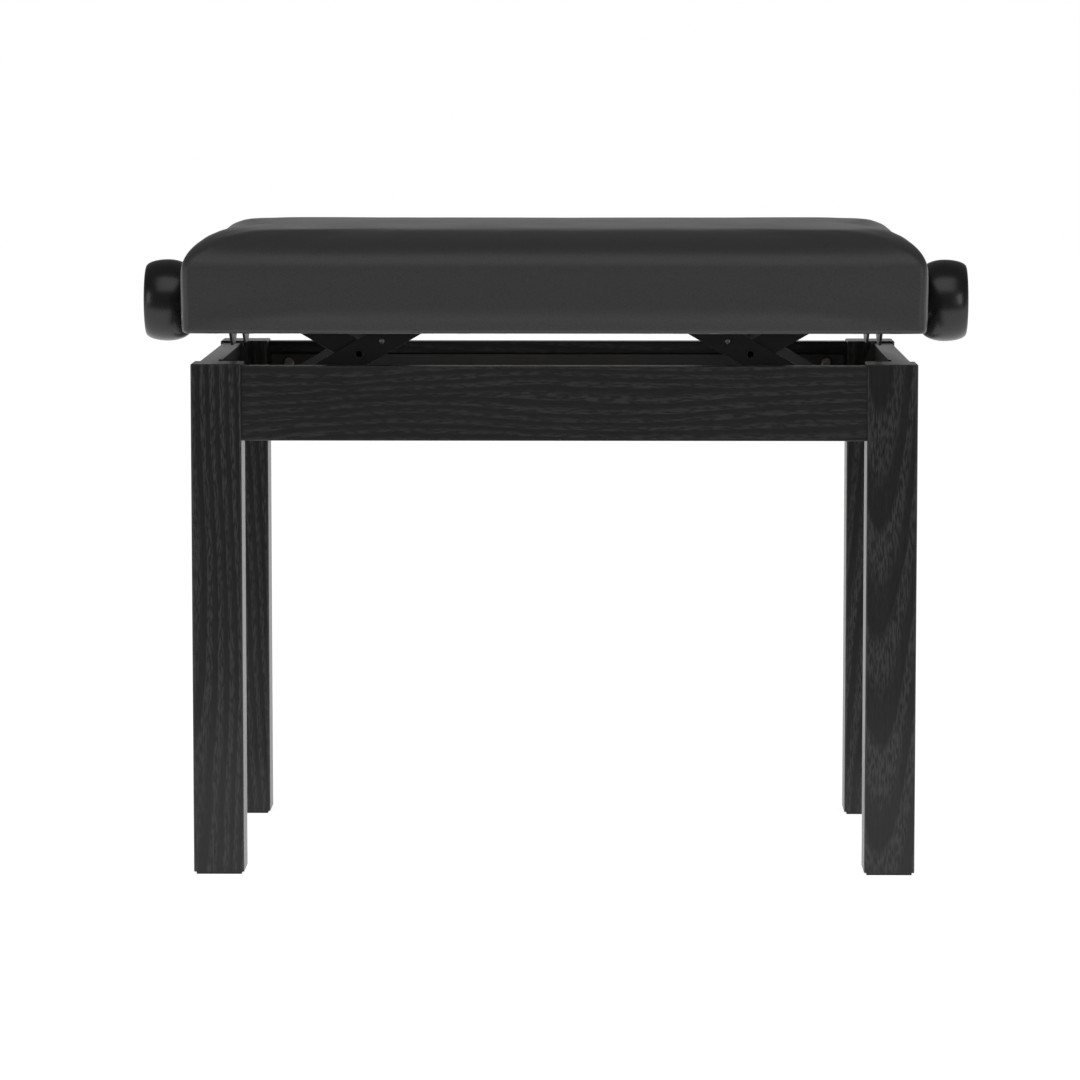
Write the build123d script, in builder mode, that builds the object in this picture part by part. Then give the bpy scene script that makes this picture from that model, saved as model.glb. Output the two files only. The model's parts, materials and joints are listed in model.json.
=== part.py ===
from build123d import *

import math
import os

# Height-adjustable piano bench, in millimetres.
# +X is to the right, the front is at -Y and +Z is up. The origin is on the floor under the middle.
# Turning a knob turns the spindle, whose left-hand and right-hand threads draw two trunnion nuts
# together or push them apart. Each nut swings a pair of long arms on the leg frame, and half-length
# links tie the middle of those arms to the seat, so the seat rises and falls level.

# Seat box
seat_length = 560.0
seat_width = 340.0
seat_corner_radius = 14.0
seat_crown_radius = 25.0
cover_thickness = 1.5
cover_hem = 20.0
padding_thickness = 6.5
foam_thickness = 24.5
board_thickness = 12.0
apron_thickness = 12.0
apron_height = 36.5

# Leg frame
frame_end_margin = 8.0
frame_side_margin = 7.0
leg_side = 38.0
leg_length = 384.0
leg_edge_radius = 2.0
leg_top_radius = 1.0
foot_thickness = 2.0
foot_margin = 2.0
foot_pin_diameter = 6.0
foot_pin_length = 12.0
rail_height = 56.0
rail_thickness = 15.0
rail_inset = 2.0
rail_drop = 1.5
rail_edge_radius = 1.0
dowel_diameter = 8.0
dowel_depth = 12.0
dowel_margin = 13.5
block_thickness = 12.0
block_reach = 39.0
stud_diameter = 6.0
stud_grip = 30.0
stud_stick_out = 9.0
stud_nut_width = 10.0
stud_nut_thickness = 5.0
stud_washer_diameter = 11.0
stud_washer_thickness = 1.5

# Sheet-steel lift
sheet = 2.5
bar_height = 32.0
bar_foot_overlap = 12.0
bar_end_clearance = 2.0
end_foot_width = 24.0
end_bar_margin = 3.0
corner_screw_past_leg = 7.0
pivot_above_bar_foot = 12.5
pivot_below_rail_top = 30.0
pivot_from_side_rail = 45.0
outer_screw_from_dowel = 4.0
outer_screw_above_pivot = 12.5
middle_screw_above_pivot = 3.0
arm_half_length = 71.0
arm_rest_angle = 30.0
arm_width = 20.6
arm_to_bar_foot = 5.0
arm_thickness = 3.0
arm_sight_hole_diameter = 4.6
arm_sight_hole_from_centre = 20.0
link_width = 18.0
link_thickness = 3.0
plate_gap = 1.0
pin_diameter = 8.0
running_clearance = 0.05
side_clearance = 0.5
tube_diameter = 12.0
centre_bore = 4.5
centre_rod_stick_out = 1.0
end_bar_height = 24.0
ear_thickness = 2.0
ear_gap = 1.0
ear_top_width = 2.5
ear_height = 41.5
ear_slope = 15.0
bracket_sheet = 2.0
bracket_width = 12.0
bracket_gap = 2.0
bracket_half_length = 30.0
bracket_foot_length = 22.0
bracket_tip_half_length = 12.0
bracket_taper = 9.0
bracket_outer_drop = 34.5
bracket_inner_drop = 32.5
upper_rail_gap = 3.0
upper_rail_drop = 11.5
upper_rail_foot_width = 26.0
upper_rail_past_pivot = 22.0
rail_screw_before_pivot = 30.0
rail_middle_screw_x = 70.0
pin_head_diameter = 12.0
pin_head_thickness = 2.0

# Spindle, nuts and knobs
spindle_diameter = 12.0
spindle_above_seat_bottom = 16.5
thread_clearance = 0.1
nut_size = 24.0
nut_chamfer = 2.0
nut_pin_press = 5.0
clip_diameter = 13.0
clip_thickness = 1.0
bush_diameter = 18.0
bush_flange_diameter = 24.0
bush_flange_thickness = 2.0
collar_diameter = 20.0
collar_width = 8.0
spindle_hole_diameter = 22.0
eyelet_hole_diameter = 26.0
washer_diameter = 30.0
washer_thickness = 2.2
washer_gap = 0.4
knob_length = 37.5
knob_gap = 3.0
knob_diameter = 63.6
knob_neck_diameter = 44.0
knob_face_diameter = 52.0
knob_dome = 1.0
knob_belly = 19.5
knob_bore_depth = 29.0
set_screw_diameter = 5.0
set_screw_length = 8.0
set_screw_from_neck = 7.0

# Screws
screw_diameter = 4.5
screw_head_diameter = 9.0
screw_head_thickness = 2.5
screw_grip = 10.0

# Levels, from the floor up
leg_bottom = foot_thickness
leg_top = leg_bottom + leg_length
rail_top = leg_top - rail_drop
rail_bottom = rail_top - rail_height
pivot_z = rail_top - pivot_below_rail_top
bar_bottom = pivot_z - pivot_above_bar_foot
end_foot_bottom = bar_bottom + sheet
block_bottom = bar_bottom - block_thickness
rest_angle = math.radians(arm_rest_angle)
centre_z = pivot_z + arm_half_length * math.sin(rest_angle)
spindle_z = pivot_z + 2 * arm_half_length * math.sin(rest_angle)
seat_bottom = spindle_z - spindle_above_seat_bottom
apron_bottom = seat_bottom + cover_thickness
board_bottom = apron_bottom + apron_height
board_top = board_bottom + board_thickness
foam_top = board_top + foam_thickness
seat_top = foam_top + cover_thickness

# Half sizes of the leg frame
frame_x = seat_length / 2 - frame_end_margin
frame_y = seat_width / 2 - frame_side_margin
leg_x = frame_x - leg_side / 2
leg_y = frame_y - leg_side / 2
leg_inner_x = frame_x - leg_side
leg_inner_y = frame_y - leg_side
rail_middle_x = frame_x - rail_inset - rail_thickness / 2
rail_middle_y = frame_y - rail_inset - rail_thickness / 2
rail_inner_x = rail_middle_x - rail_thickness / 2
rail_inner_y = rail_middle_y - rail_thickness / 2

# Half sizes of the lift
pivot_x = rail_inner_x - pivot_from_side_rail
centre_x = pivot_x - arm_half_length * math.cos(rest_angle)
nut_x = pivot_x - 2 * arm_half_length * math.cos(rest_angle)
bar_inner_y = rail_inner_y - sheet
bar_half_length = leg_inner_x - bar_end_clearance
end_bar_half_length = leg_inner_y - end_bar_margin
bar_foot_inner_y = end_bar_half_length - bar_foot_overlap
arm_outer_y = bar_foot_inner_y - arm_to_bar_foot
arm_inner_y = arm_outer_y - arm_thickness
link_outer_y = arm_inner_y - plate_gap
link_inner_y = link_outer_y - link_thickness
upper_rail_inner_y = arm_outer_y + upper_rail_gap
upper_rail_outer_y = upper_rail_inner_y + sheet
bracket_outer_x = rail_inner_x - bracket_gap
bracket_inner_x = bracket_outer_x - bracket_width
ear_inner_y = arm_outer_y + ear_gap
ear_outer_y = ear_inner_y + ear_thickness
ear_top = end_foot_bottom + ear_height
block_diagonal = (block_reach - (rail_inner_y - leg_inner_y)) / math.sqrt(2)
corner_screw_x = leg_inner_x + corner_screw_past_leg
corner_screw_y = (bar_foot_inner_y + end_bar_half_length) / 2

# Half sizes of the seat box
apron_outer_x = seat_length / 2 - cover_thickness - padding_thickness
apron_outer_y = seat_width / 2 - cover_thickness - padding_thickness
apron_inner_x = apron_outer_x - apron_thickness
apron_inner_y = apron_outer_y - apron_thickness
knob_neck_x = seat_length / 2 + knob_gap

pin_hole_diameter = pin_diameter + 2 * running_clearance
spindle_hole_fit = spindle_diameter + 2 * running_clearance
nut_bore = spindle_diameter + 2 * thread_clearance

STANDING = (Align.CENTER, Align.CENTER, Align.MIN)
ALONG_X = (0, 90, 0)
ALONG_Y = (90, 0, 0)
SIDES = {"left": -1, "right": 1}
ENDS = {"front": -1, "rear": 1}
CORNERS = [(side_x, side_y) for side_x in (-1, 1) for side_y in (-1, 1)]

os.makedirs("parts", exist_ok=True)


def save(piece, name):
    """Label a finished piece and write it as one STEP file."""
    piece.part.label = name
    export_step(piece.part, f"parts/{name}.step")


def span_box(low, high, mode=Mode.ADD):
    """A box between two opposite corners, in the active part."""
    size = [abs(b - a) for a, b in zip(low, high)]
    middle = [(a + b) / 2 for a, b in zip(low, high)]
    with Locations(tuple(middle)):
        Box(*size, mode=mode)


def bore_x(diameter, x_from, x_to, y, z, mode=Mode.SUBTRACT):
    """A round hole, or a rod, along X in the active part."""
    with Locations(((x_from + x_to) / 2, y, z)):
        Cylinder(diameter / 2, abs(x_to - x_from), rotation=ALONG_X, mode=mode)


def bore_y(diameter, x, y_from, y_to, z, mode=Mode.SUBTRACT):
    """A round hole, or a rod, along Y in the active part."""
    with Locations((x, (y_from + y_to) / 2, z)):
        Cylinder(diameter / 2, abs(y_to - y_from), rotation=ALONG_Y, mode=mode)


def bore_z(diameter, x, y, z_from, z_to, mode=Mode.SUBTRACT):
    """A round hole, or a rod, along Z in the active part."""
    with Locations((x, y, (z_from + z_to) / 2)):
        Cylinder(diameter / 2, abs(z_to - z_from), mode=mode)


def front_plane(y_one, y_other):
    """An upright plane facing the front, at the rear face of a plate that lies between two depths."""
    return Plane.XZ.offset(-max(y_one, y_other))


def dowel_heights():
    """The two heights at which every rail is dowelled."""
    return (rail_bottom + dowel_margin, rail_top - dowel_margin)


def stud_plane(side_x, side_y):
    """The plane at a leg's inner edge, whose normal points diagonally into the leg."""
    return Plane(
        origin=(side_x * leg_inner_x, side_y * leg_inner_y, block_bottom + block_thickness / 2),
        x_dir=(0, 0, 1),
        z_dir=(side_x, side_y, 0),
    )


def stud_rod(side_x, side_y, diameter, start, end, mode):
    """A round bar along a corner's diagonal, measured from the leg's inner edge."""
    with Locations(stud_plane(side_x, side_y).offset((start + end) / 2)):
        Cylinder(diameter / 2, end - start, mode=mode)


# Legs ---------------------------------------------------------------------------------------------

for end_name, side_y in ENDS.items():
    for side_name, side_x in SIDES.items():
        with BuildPart() as leg:
            with Locations((side_x * leg_x, side_y * leg_y, leg_bottom)):
                Box(leg_side, leg_side, leg_length, align=STANDING)
            fillet(leg.edges().filter_by(Axis.Z), leg_edge_radius)
            fillet(leg.faces().sort_by(Axis.Z)[-1].edges(), leg_top_radius)
            for height in dowel_heights():
                bore_x(dowel_diameter, side_x * leg_inner_x, side_x * (leg_inner_x + dowel_depth),
                       side_y * rail_middle_y, height)
                bore_y(dowel_diameter, side_x * rail_middle_x, side_y * leg_inner_y,
                       side_y * (leg_inner_y + dowel_depth), height)
            bore_z(foot_pin_diameter, side_x * leg_x, side_y * leg_y,
                   leg_bottom, leg_bottom + foot_pin_length)
            stud_rod(side_x, side_y, stud_diameter, 0, stud_grip, Mode.SUBTRACT)
        save(leg, f"{end_name}_{side_name}_leg")

with BuildPart() as foot_pads:
    for side_x, side_y in CORNERS:
        with Locations((side_x * leg_x, side_y * leg_y, 0)):
            Box(leg_side - 2 * foot_margin, leg_side - 2 * foot_margin, foot_thickness, align=STANDING)
        bore_z(foot_pin_diameter, side_x * leg_x, side_y * leg_y,
               foot_thickness, foot_thickness + foot_pin_length, Mode.ADD)
save(foot_pads, "foot_pads")


# Rails --------------------------------------------------------------------------------------------

def long_screw_places():
    """X and Z of the screws that hold a front or rear frame bar to its rail."""
    outer_x = leg_inner_x - dowel_depth - outer_screw_from_dowel
    places = [(outer_x, pivot_z + outer_screw_above_pivot), (pivot_x / 2, pivot_z + middle_screw_above_pivot)]
    return [(side_x * x, z) for x, z in places for side_x in (-1, 1)]


def short_screw_places():
    """Y and Z of the screws that hold an end bar to its side rail."""
    z = pivot_z + middle_screw_above_pivot
    return [(side_y * end_bar_half_length / 2, z) for side_y in (-1, 1)]


for end_name, side_y in ENDS.items():
    with BuildPart() as rail:
        with Locations((0, side_y * rail_middle_y, rail_bottom)):
            Box(2 * leg_inner_x, rail_thickness, rail_height, align=STANDING)
        fillet(rail.edges().filter_by(Axis.X), rail_edge_radius)
        for side_x in SIDES.values():
            for height in dowel_heights():
                bore_x(dowel_diameter, side_x * leg_inner_x, side_x * (leg_inner_x - dowel_depth),
                       side_y * rail_middle_y, height)
        for x, z in long_screw_places():
            bore_y(screw_diameter, x, side_y * rail_inner_y, side_y * (rail_inner_y + screw_grip), z)
    save(rail, f"{end_name}_rail")

for side_name, side_x in SIDES.items():
    with BuildPart() as rail:
        with Locations((side_x * rail_middle_x, 0, rail_bottom)):
            Box(rail_thickness, 2 * leg_inner_y, rail_height, align=STANDING)
        fillet(rail.edges().filter_by(Axis.Y), rail_edge_radius)
        for side_y in ENDS.values():
            for height in dowel_heights():
                bore_y(dowel_diameter, side_x * rail_middle_x, side_y * leg_inner_y,
                       side_y * (leg_inner_y - dowel_depth), height)
        for y, z in short_screw_places():
            bore_x(screw_diameter, side_x * rail_inner_x, side_x * (rail_inner_x + screw_grip), y, z)
    save(rail, f"{side_name}_side_rail")

with BuildPart() as rail_dowels:
    for side_x, side_y in CORNERS:
        for height in dowel_heights():
            bore_x(dowel_diameter, side_x * (leg_inner_x - dowel_depth), side_x * (leg_inner_x + dowel_depth),
                   side_y * rail_middle_y, height, Mode.ADD)
            bore_y(dowel_diameter, side_x * rail_middle_x, side_y * (leg_inner_y - dowel_depth),
                   side_y * (leg_inner_y + dowel_depth), height, Mode.ADD)
save(rail_dowels, "rail_dowels")


# Corner blocks and their hanger bolts -------------------------------------------------------------

with BuildPart() as corner_blocks:
    for side_x, side_y in CORNERS:
        outline = [
            (side_x * rail_inner_x, side_y * leg_inner_y),
            (side_x * leg_inner_x, side_y * leg_inner_y),
            (side_x * leg_inner_x, side_y * rail_inner_y),
            (side_x * (leg_inner_x - block_reach), side_y * rail_inner_y),
            (side_x * rail_inner_x, side_y * (leg_inner_y - block_reach)),
        ]
        with BuildSketch(Plane.XY.offset(block_bottom)):
            with BuildLine():
                Polyline(*outline, close=True)
            make_face()
        extrude(amount=block_thickness)
        stud_rod(side_x, side_y, stud_diameter, -block_diagonal, stud_diameter, Mode.SUBTRACT)
        bore_z(screw_diameter, side_x * corner_screw_x, side_y * corner_screw_y,
               bar_bottom - screw_grip, bar_bottom)
save(corner_blocks, "corner_blocks")

with BuildPart() as leg_studs:
    for side_x, side_y in CORNERS:
        stud_rod(side_x, side_y, stud_diameter, -block_diagonal - stud_stick_out, stud_grip, Mode.ADD)
save(leg_studs, "leg_studs")

with BuildPart() as leg_stud_nuts:
    for side_x, side_y in CORNERS:
        washer_face = -block_diagonal - stud_washer_thickness
        stud_rod(side_x, side_y, stud_washer_diameter, washer_face, -block_diagonal, Mode.ADD)
        with BuildSketch(stud_plane(side_x, side_y).offset(washer_face)):
            RegularPolygon(stud_nut_width / 2, 6, major_radius=False)
        extrude(amount=-stud_nut_thickness)
        stud_rod(side_x, side_y, stud_diameter, -block_diagonal - stud_stick_out, 0, Mode.SUBTRACT)
save(leg_stud_nuts, "leg_stud_nuts")


# Lower steel frame --------------------------------------------------------------------------------

for end_name, side_y in ENDS.items():
    with BuildPart() as bar:
        span_box((-bar_half_length, side_y * bar_inner_y, bar_bottom),
                 (bar_half_length, side_y * rail_inner_y, bar_bottom + bar_height))
        span_box((-rail_inner_x + side_clearance, side_y * bar_foot_inner_y, bar_bottom),
                 (rail_inner_x - side_clearance, side_y * rail_inner_y, end_foot_bottom))
        for side_x in SIDES.values():
            span_box((side_x * bar_half_length, side_y * end_bar_half_length, bar_bottom),
                     (side_x * rail_inner_x, side_y * rail_inner_y, end_foot_bottom), Mode.SUBTRACT)
            bore_y(pin_diameter, side_x * pivot_x, side_y * bar_inner_y, side_y * rail_inner_y, pivot_z)
            bore_z(screw_diameter, side_x * corner_screw_x, side_y * corner_screw_y,
                   bar_bottom, end_foot_bottom)
        for x, z in long_screw_places():
            bore_y(screw_diameter, x, side_y * bar_inner_y, side_y * rail_inner_y, z)
    save(bar, f"lower_{end_name}_bar")

for side_name, side_x in SIDES.items():
    with BuildPart() as bar:
        span_box((side_x * (rail_inner_x - sheet), -end_bar_half_length, end_foot_bottom),
                 (side_x * rail_inner_x, end_bar_half_length, end_foot_bottom + end_bar_height))
        span_box((side_x * (rail_inner_x - end_foot_width), -end_bar_half_length, end_foot_bottom),
                 (side_x * rail_inner_x, end_bar_half_length, end_foot_bottom + sheet))
        for side_y in ENDS.values():
            with BuildSketch(front_plane(side_y * ear_inner_y, side_y * ear_outer_y)):
                with BuildLine():
                    Polyline(
                        (side_x * rail_inner_x, end_foot_bottom),
                        (side_x * rail_inner_x, ear_top),
                        (side_x * (rail_inner_x - ear_top_width), ear_top),
                        (side_x * (rail_inner_x - ear_slope), end_foot_bottom),
                        close=True,
                    )
                make_face()
            extrude(amount=ear_thickness)
            bore_z(screw_diameter, side_x * corner_screw_x, side_y * corner_screw_y,
                   end_foot_bottom, end_foot_bottom + sheet)
        for y, z in short_screw_places():
            bore_x(screw_diameter, side_x * (rail_inner_x - sheet), side_x * rail_inner_x, y, z)
    save(bar, f"lower_{side_name}_end_bar")

with BuildPart() as frame_screws:
    for side_y in ENDS.values():
        for x, z in long_screw_places():
            bore_y(screw_diameter, x, side_y * bar_inner_y, side_y * (rail_inner_y + screw_grip), z, Mode.ADD)
            bore_y(screw_head_diameter, x, side_y * (bar_inner_y - screw_head_thickness),
                   side_y * bar_inner_y, z, Mode.ADD)
    for side_x in SIDES.values():
        plate_x = rail_inner_x - sheet
        for y, z in short_screw_places():
            bore_x(screw_diameter, side_x * plate_x, side_x * (rail_inner_x + screw_grip), y, z, Mode.ADD)
            bore_x(screw_head_diameter, side_x * (plate_x - screw_head_thickness), side_x * plate_x,
                   y, z, Mode.ADD)
    for side_x, side_y in CORNERS:
        x, y = side_x * corner_screw_x, side_y * corner_screw_y
        head_bottom = end_foot_bottom + sheet
        bore_z(screw_diameter, x, y, bar_bottom - screw_grip, head_bottom, Mode.ADD)
        bore_z(screw_head_diameter, x, y, head_bottom, head_bottom + screw_head_thickness, Mode.ADD)
save(frame_screws, "frame_screws")

with BuildPart() as lower_pivot_rods:
    for side_x in SIDES.values():
        bore_y(pin_diameter, side_x * pivot_x, -rail_inner_y, rail_inner_y, pivot_z, Mode.ADD)
save(lower_pivot_rods, "lower_pivot_rods")

with BuildPart() as lower_spacers:
    for side_x, side_y in CORNERS:
        y_from, y_to = side_y * (arm_outer_y + side_clearance), side_y * bar_inner_y
        bore_y(tube_diameter, side_x * pivot_x, y_from, y_to, pivot_z, Mode.ADD)
        bore_y(pin_diameter, side_x * pivot_x, y_from, y_to, pivot_z)
save(lower_spacers, "lower_spacers")


# Scissor arms and links ---------------------------------------------------------------------------

def plate_slot(x, z, length, width, tilt):
    """The outline of an arm or link plate, round at both ends, in a front-facing sketch."""
    with Locations((x, z)):
        SlotCenterToCenter(length, width, rotation=tilt)


def cross_tube(x, z, half_length, bore):
    """A tube from the front plate to the rear plate."""
    with BuildPart() as tube:
        bore_y(tube_diameter, x, -half_length, half_length, z, Mode.ADD)
        bore_y(bore, x, -half_length, half_length, z)
    return tube


for side_name, side_x in SIDES.items():
    tilt = -side_x * arm_rest_angle
    sight_reach = arm_sight_hole_from_centre
    sight_x = side_x * (centre_x - sight_reach * math.cos(rest_angle))
    sight_z = centre_z + sight_reach * math.sin(rest_angle)
    for end_name, side_y in ENDS.items():
        with BuildPart() as plate:
            with BuildSketch(front_plane(side_y * arm_inner_y, side_y * arm_outer_y)):
                plate_slot(side_x * centre_x, centre_z, 2 * arm_half_length, arm_width, tilt)
                with Locations((side_x * pivot_x, pivot_z)):
                    Circle(tube_diameter / 2, mode=Mode.SUBTRACT)
                with Locations((side_x * centre_x, centre_z)):
                    Circle(pin_diameter / 2, mode=Mode.SUBTRACT)
                with Locations((side_x * nut_x, spindle_z)):
                    Circle(pin_hole_diameter / 2, mode=Mode.SUBTRACT)
                with Locations((sight_x, sight_z)):
                    Circle(arm_sight_hole_diameter / 2, mode=Mode.SUBTRACT)
            extrude(amount=arm_thickness)
        save(plate, f"{side_name}_arm_{end_name}_plate")

        with BuildPart() as plate:
            with BuildSketch(front_plane(side_y * link_inner_y, side_y * link_outer_y)):
                plate_slot(side_x * (centre_x + pivot_x) / 2, (centre_z + spindle_z) / 2,
                           arm_half_length, link_width, -tilt)
                with Locations((side_x * centre_x, centre_z)):
                    Circle(tube_diameter / 2, mode=Mode.SUBTRACT)
                with Locations((side_x * pivot_x, spindle_z)):
                    Circle(pin_hole_diameter / 2, mode=Mode.SUBTRACT)
            extrude(amount=link_thickness)
        save(plate, f"{side_name}_link_{end_name}_plate")

    arm_tube = cross_tube(side_x * pivot_x, pivot_z, arm_outer_y, pin_hole_diameter)
    save(arm_tube, f"{side_name}_arm_tube")
    link_tube = cross_tube(side_x * centre_x, centre_z, link_outer_y, pin_hole_diameter)
    save(link_tube, f"{side_name}_link_tube")

    with BuildPart() as centre_rod:
        rod_end = arm_outer_y + centre_rod_stick_out
        bore_y(pin_diameter, side_x * centre_x, -rod_end, rod_end, centre_z, Mode.ADD)
        bore_y(centre_bore, side_x * centre_x, -rod_end, rod_end, centre_z)
    save(centre_rod, f"{side_name}_centre_rod")


# Trunnion nuts ------------------------------------------------------------------------------------

for side_name, side_x in SIDES.items():
    pin_start = nut_size / 2 - nut_pin_press
    clip_start = arm_outer_y + side_clearance
    pin_end = clip_start + clip_thickness + side_clearance
    with BuildPart() as nut:
        with Locations((side_x * nut_x, 0, spindle_z)):
            Box(nut_size, nut_size, nut_size)
        chamfer(nut.edges().filter_by(Axis.X), nut_chamfer)
        bore_x(nut_bore, side_x * nut_x - nut_size / 2, side_x * nut_x + nut_size / 2, 0, spindle_z)
        for side_y in ENDS.values():
            bore_y(pin_diameter, side_x * nut_x, side_y * pin_start, side_y * nut_size / 2, spindle_z)
    save(nut, f"{side_name}_nut")

    with BuildPart() as nut_pins:
        for side_y in ENDS.values():
            bore_y(pin_diameter, side_x * nut_x, side_y * pin_start, side_y * pin_end, spindle_z, Mode.ADD)
    save(nut_pins, f"{side_name}_nut_pins")

    with BuildPart() as nut_clips:
        for side_y in ENDS.values():
            y_from, y_to = side_y * clip_start, side_y * (clip_start + clip_thickness)
            bore_y(clip_diameter, side_x * nut_x, y_from, y_to, spindle_z, Mode.ADD)
            bore_y(pin_diameter, side_x * nut_x, y_from, y_to, spindle_z)
    save(nut_clips, f"{side_name}_nut_clips")


# Upper steel frame --------------------------------------------------------------------------------

def rail_screw_places():
    """X and Y of the screws that hold the upper rails to the seat board."""
    y_place = upper_rail_outer_y + upper_rail_foot_width / 2
    x_places = (rail_middle_screw_x, pivot_x - rail_screw_before_pivot)
    return [(side_x * x, side_y * y_place) for x in x_places for side_x, side_y in CORNERS]


def bracket_screw_places():
    """X and Y of the screws that hold the spindle brackets to the seat board."""
    x_place = (bracket_outer_x + bracket_inner_x) / 2
    y_place = bracket_half_length + bracket_foot_length / 2
    return [(side_x * x_place, side_y * y_place) for side_x, side_y in CORNERS]


for end_name, side_y in ENDS.items():
    with BuildPart() as rail:
        half_length = pivot_x + upper_rail_past_pivot
        span_box((-half_length, side_y * upper_rail_inner_y, spindle_z - upper_rail_drop),
                 (half_length, side_y * upper_rail_outer_y, board_bottom))
        span_box((-half_length, side_y * upper_rail_inner_y, board_bottom - sheet),
                 (half_length, side_y * (upper_rail_inner_y + upper_rail_foot_width), board_bottom))
        for side_x in SIDES.values():
            bore_y(pin_diameter, side_x * pivot_x, side_y * upper_rail_inner_y,
                   side_y * upper_rail_outer_y, spindle_z)
        for x, y in rail_screw_places():
            bore_z(screw_diameter, x, y, board_bottom - sheet, board_bottom)
    save(rail, f"upper_{end_name}_rail")

for side_name, side_x in SIDES.items():
    with BuildPart() as bracket:
        foot_end = bracket_half_length + bracket_foot_length
        span_box((side_x * bracket_inner_x, -foot_end, board_bottom - bracket_sheet),
                 (side_x * bracket_outer_x, foot_end, board_bottom))
        flanges = [
            (bracket_outer_x - bracket_sheet, bracket_outer_drop),
            (bracket_inner_x, bracket_inner_drop),
        ]
        for flange_x, drop in flanges:
            start = min(side_x * flange_x, side_x * (flange_x + bracket_sheet))
            tip_z = spindle_z - drop
            with BuildSketch(Plane.YZ.offset(start)):
                with BuildLine():
                    Polyline(
                        (-bracket_half_length, board_bottom),
                        (-bracket_half_length, tip_z + bracket_taper),
                        (-bracket_tip_half_length, tip_z),
                        (bracket_tip_half_length, tip_z),
                        (bracket_half_length, tip_z + bracket_taper),
                        (bracket_half_length, board_bottom),
                        close=True,
                    )
                make_face()
            extrude(amount=bracket_sheet)
        bore_x(bush_diameter, side_x * bracket_inner_x, side_x * bracket_outer_x, 0, spindle_z)
        for x, y in bracket_screw_places():
            bore_z(screw_diameter, x, y, board_bottom - bracket_sheet, board_bottom)
    save(bracket, f"{side_name}_spindle_bracket")

with BuildPart() as upper_pivot_pins:
    head_end = link_inner_y - side_clearance
    for side_x, side_y in CORNERS:
        x = side_x * pivot_x
        bore_y(pin_diameter, x, side_y * head_end, side_y * upper_rail_outer_y, spindle_z, Mode.ADD)
        for start in (head_end - pin_head_thickness, upper_rail_outer_y):
            bore_y(pin_head_diameter, x, side_y * start, side_y * (start + pin_head_thickness),
                   spindle_z, Mode.ADD)
save(upper_pivot_pins, "upper_pivot_pins")

with BuildPart() as upper_spacers:
    for side_x, side_y in CORNERS:
        y_from, y_to = side_y * (link_outer_y + side_clearance), side_y * upper_rail_inner_y
        bore_y(tube_diameter, side_x * pivot_x, y_from, y_to, spindle_z, Mode.ADD)
        bore_y(pin_diameter, side_x * pivot_x, y_from, y_to, spindle_z)
save(upper_spacers, "upper_spacers")

with BuildPart() as seat_screws:
    heads = [(place, sheet) for place in rail_screw_places()]
    heads += [(place, bracket_sheet) for place in bracket_screw_places()]
    for (x, y), plate in heads:
        head_top = board_bottom - plate
        bore_z(screw_diameter, x, y, head_top, board_bottom + screw_grip, Mode.ADD)
        bore_z(screw_head_diameter, x, y, head_top - screw_head_thickness, head_top, Mode.ADD)
save(seat_screws, "seat_screws")


# Spindle and knobs --------------------------------------------------------------------------------

def ring_x(outer, inner, x_from, x_to):
    """A ring round the spindle's axis, added to the active part."""
    bore_x(outer, x_from, x_to, 0, spindle_z, Mode.ADD)
    bore_x(inner, x_from, x_to, 0, spindle_z)


spindle_end = knob_neck_x + knob_bore_depth
bush_start = bracket_inner_x - bush_flange_thickness
collar_end = bush_start - side_clearance

with BuildPart() as spindle_bushes:
    for side_x in SIDES.values():
        bore_x(bush_diameter, side_x * bush_start, side_x * bracket_outer_x, 0, spindle_z, Mode.ADD)
        bore_x(bush_flange_diameter, side_x * bush_start, side_x * bracket_inner_x, 0, spindle_z, Mode.ADD)
        bore_x(spindle_hole_fit, side_x * bush_start, side_x * bracket_outer_x, 0, spindle_z)
save(spindle_bushes, "spindle_bushes")

with BuildPart() as spindle:
    bore_x(spindle_diameter, -spindle_end, spindle_end, 0, spindle_z, Mode.ADD)
save(spindle, "spindle")

with BuildPart() as spindle_collars:
    for side_x in SIDES.values():
        ring_x(collar_diameter, spindle_diameter, side_x * (collar_end - collar_width), side_x * collar_end)
save(spindle_collars, "spindle_collars")

with BuildPart() as knob_washers:
    washer_start = seat_length / 2 + washer_gap
    for side_x in SIDES.values():
        ring_x(washer_diameter, spindle_diameter, side_x * washer_start,
               side_x * (washer_start + washer_thickness))
save(knob_washers, "knob_washers")

def knob_plane(side_x):
    """A plane through the spindle's axis, at a knob's inner end, with its local X outwards."""
    return Plane(
        origin=(side_x * knob_neck_x, 0, spindle_z), x_dir=(side_x, 0, 0), z_dir=(0, -side_x, 0)
    )


set_screw_x = knob_neck_x + set_screw_from_neck
spindle_radius = spindle_diameter / 2

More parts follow.
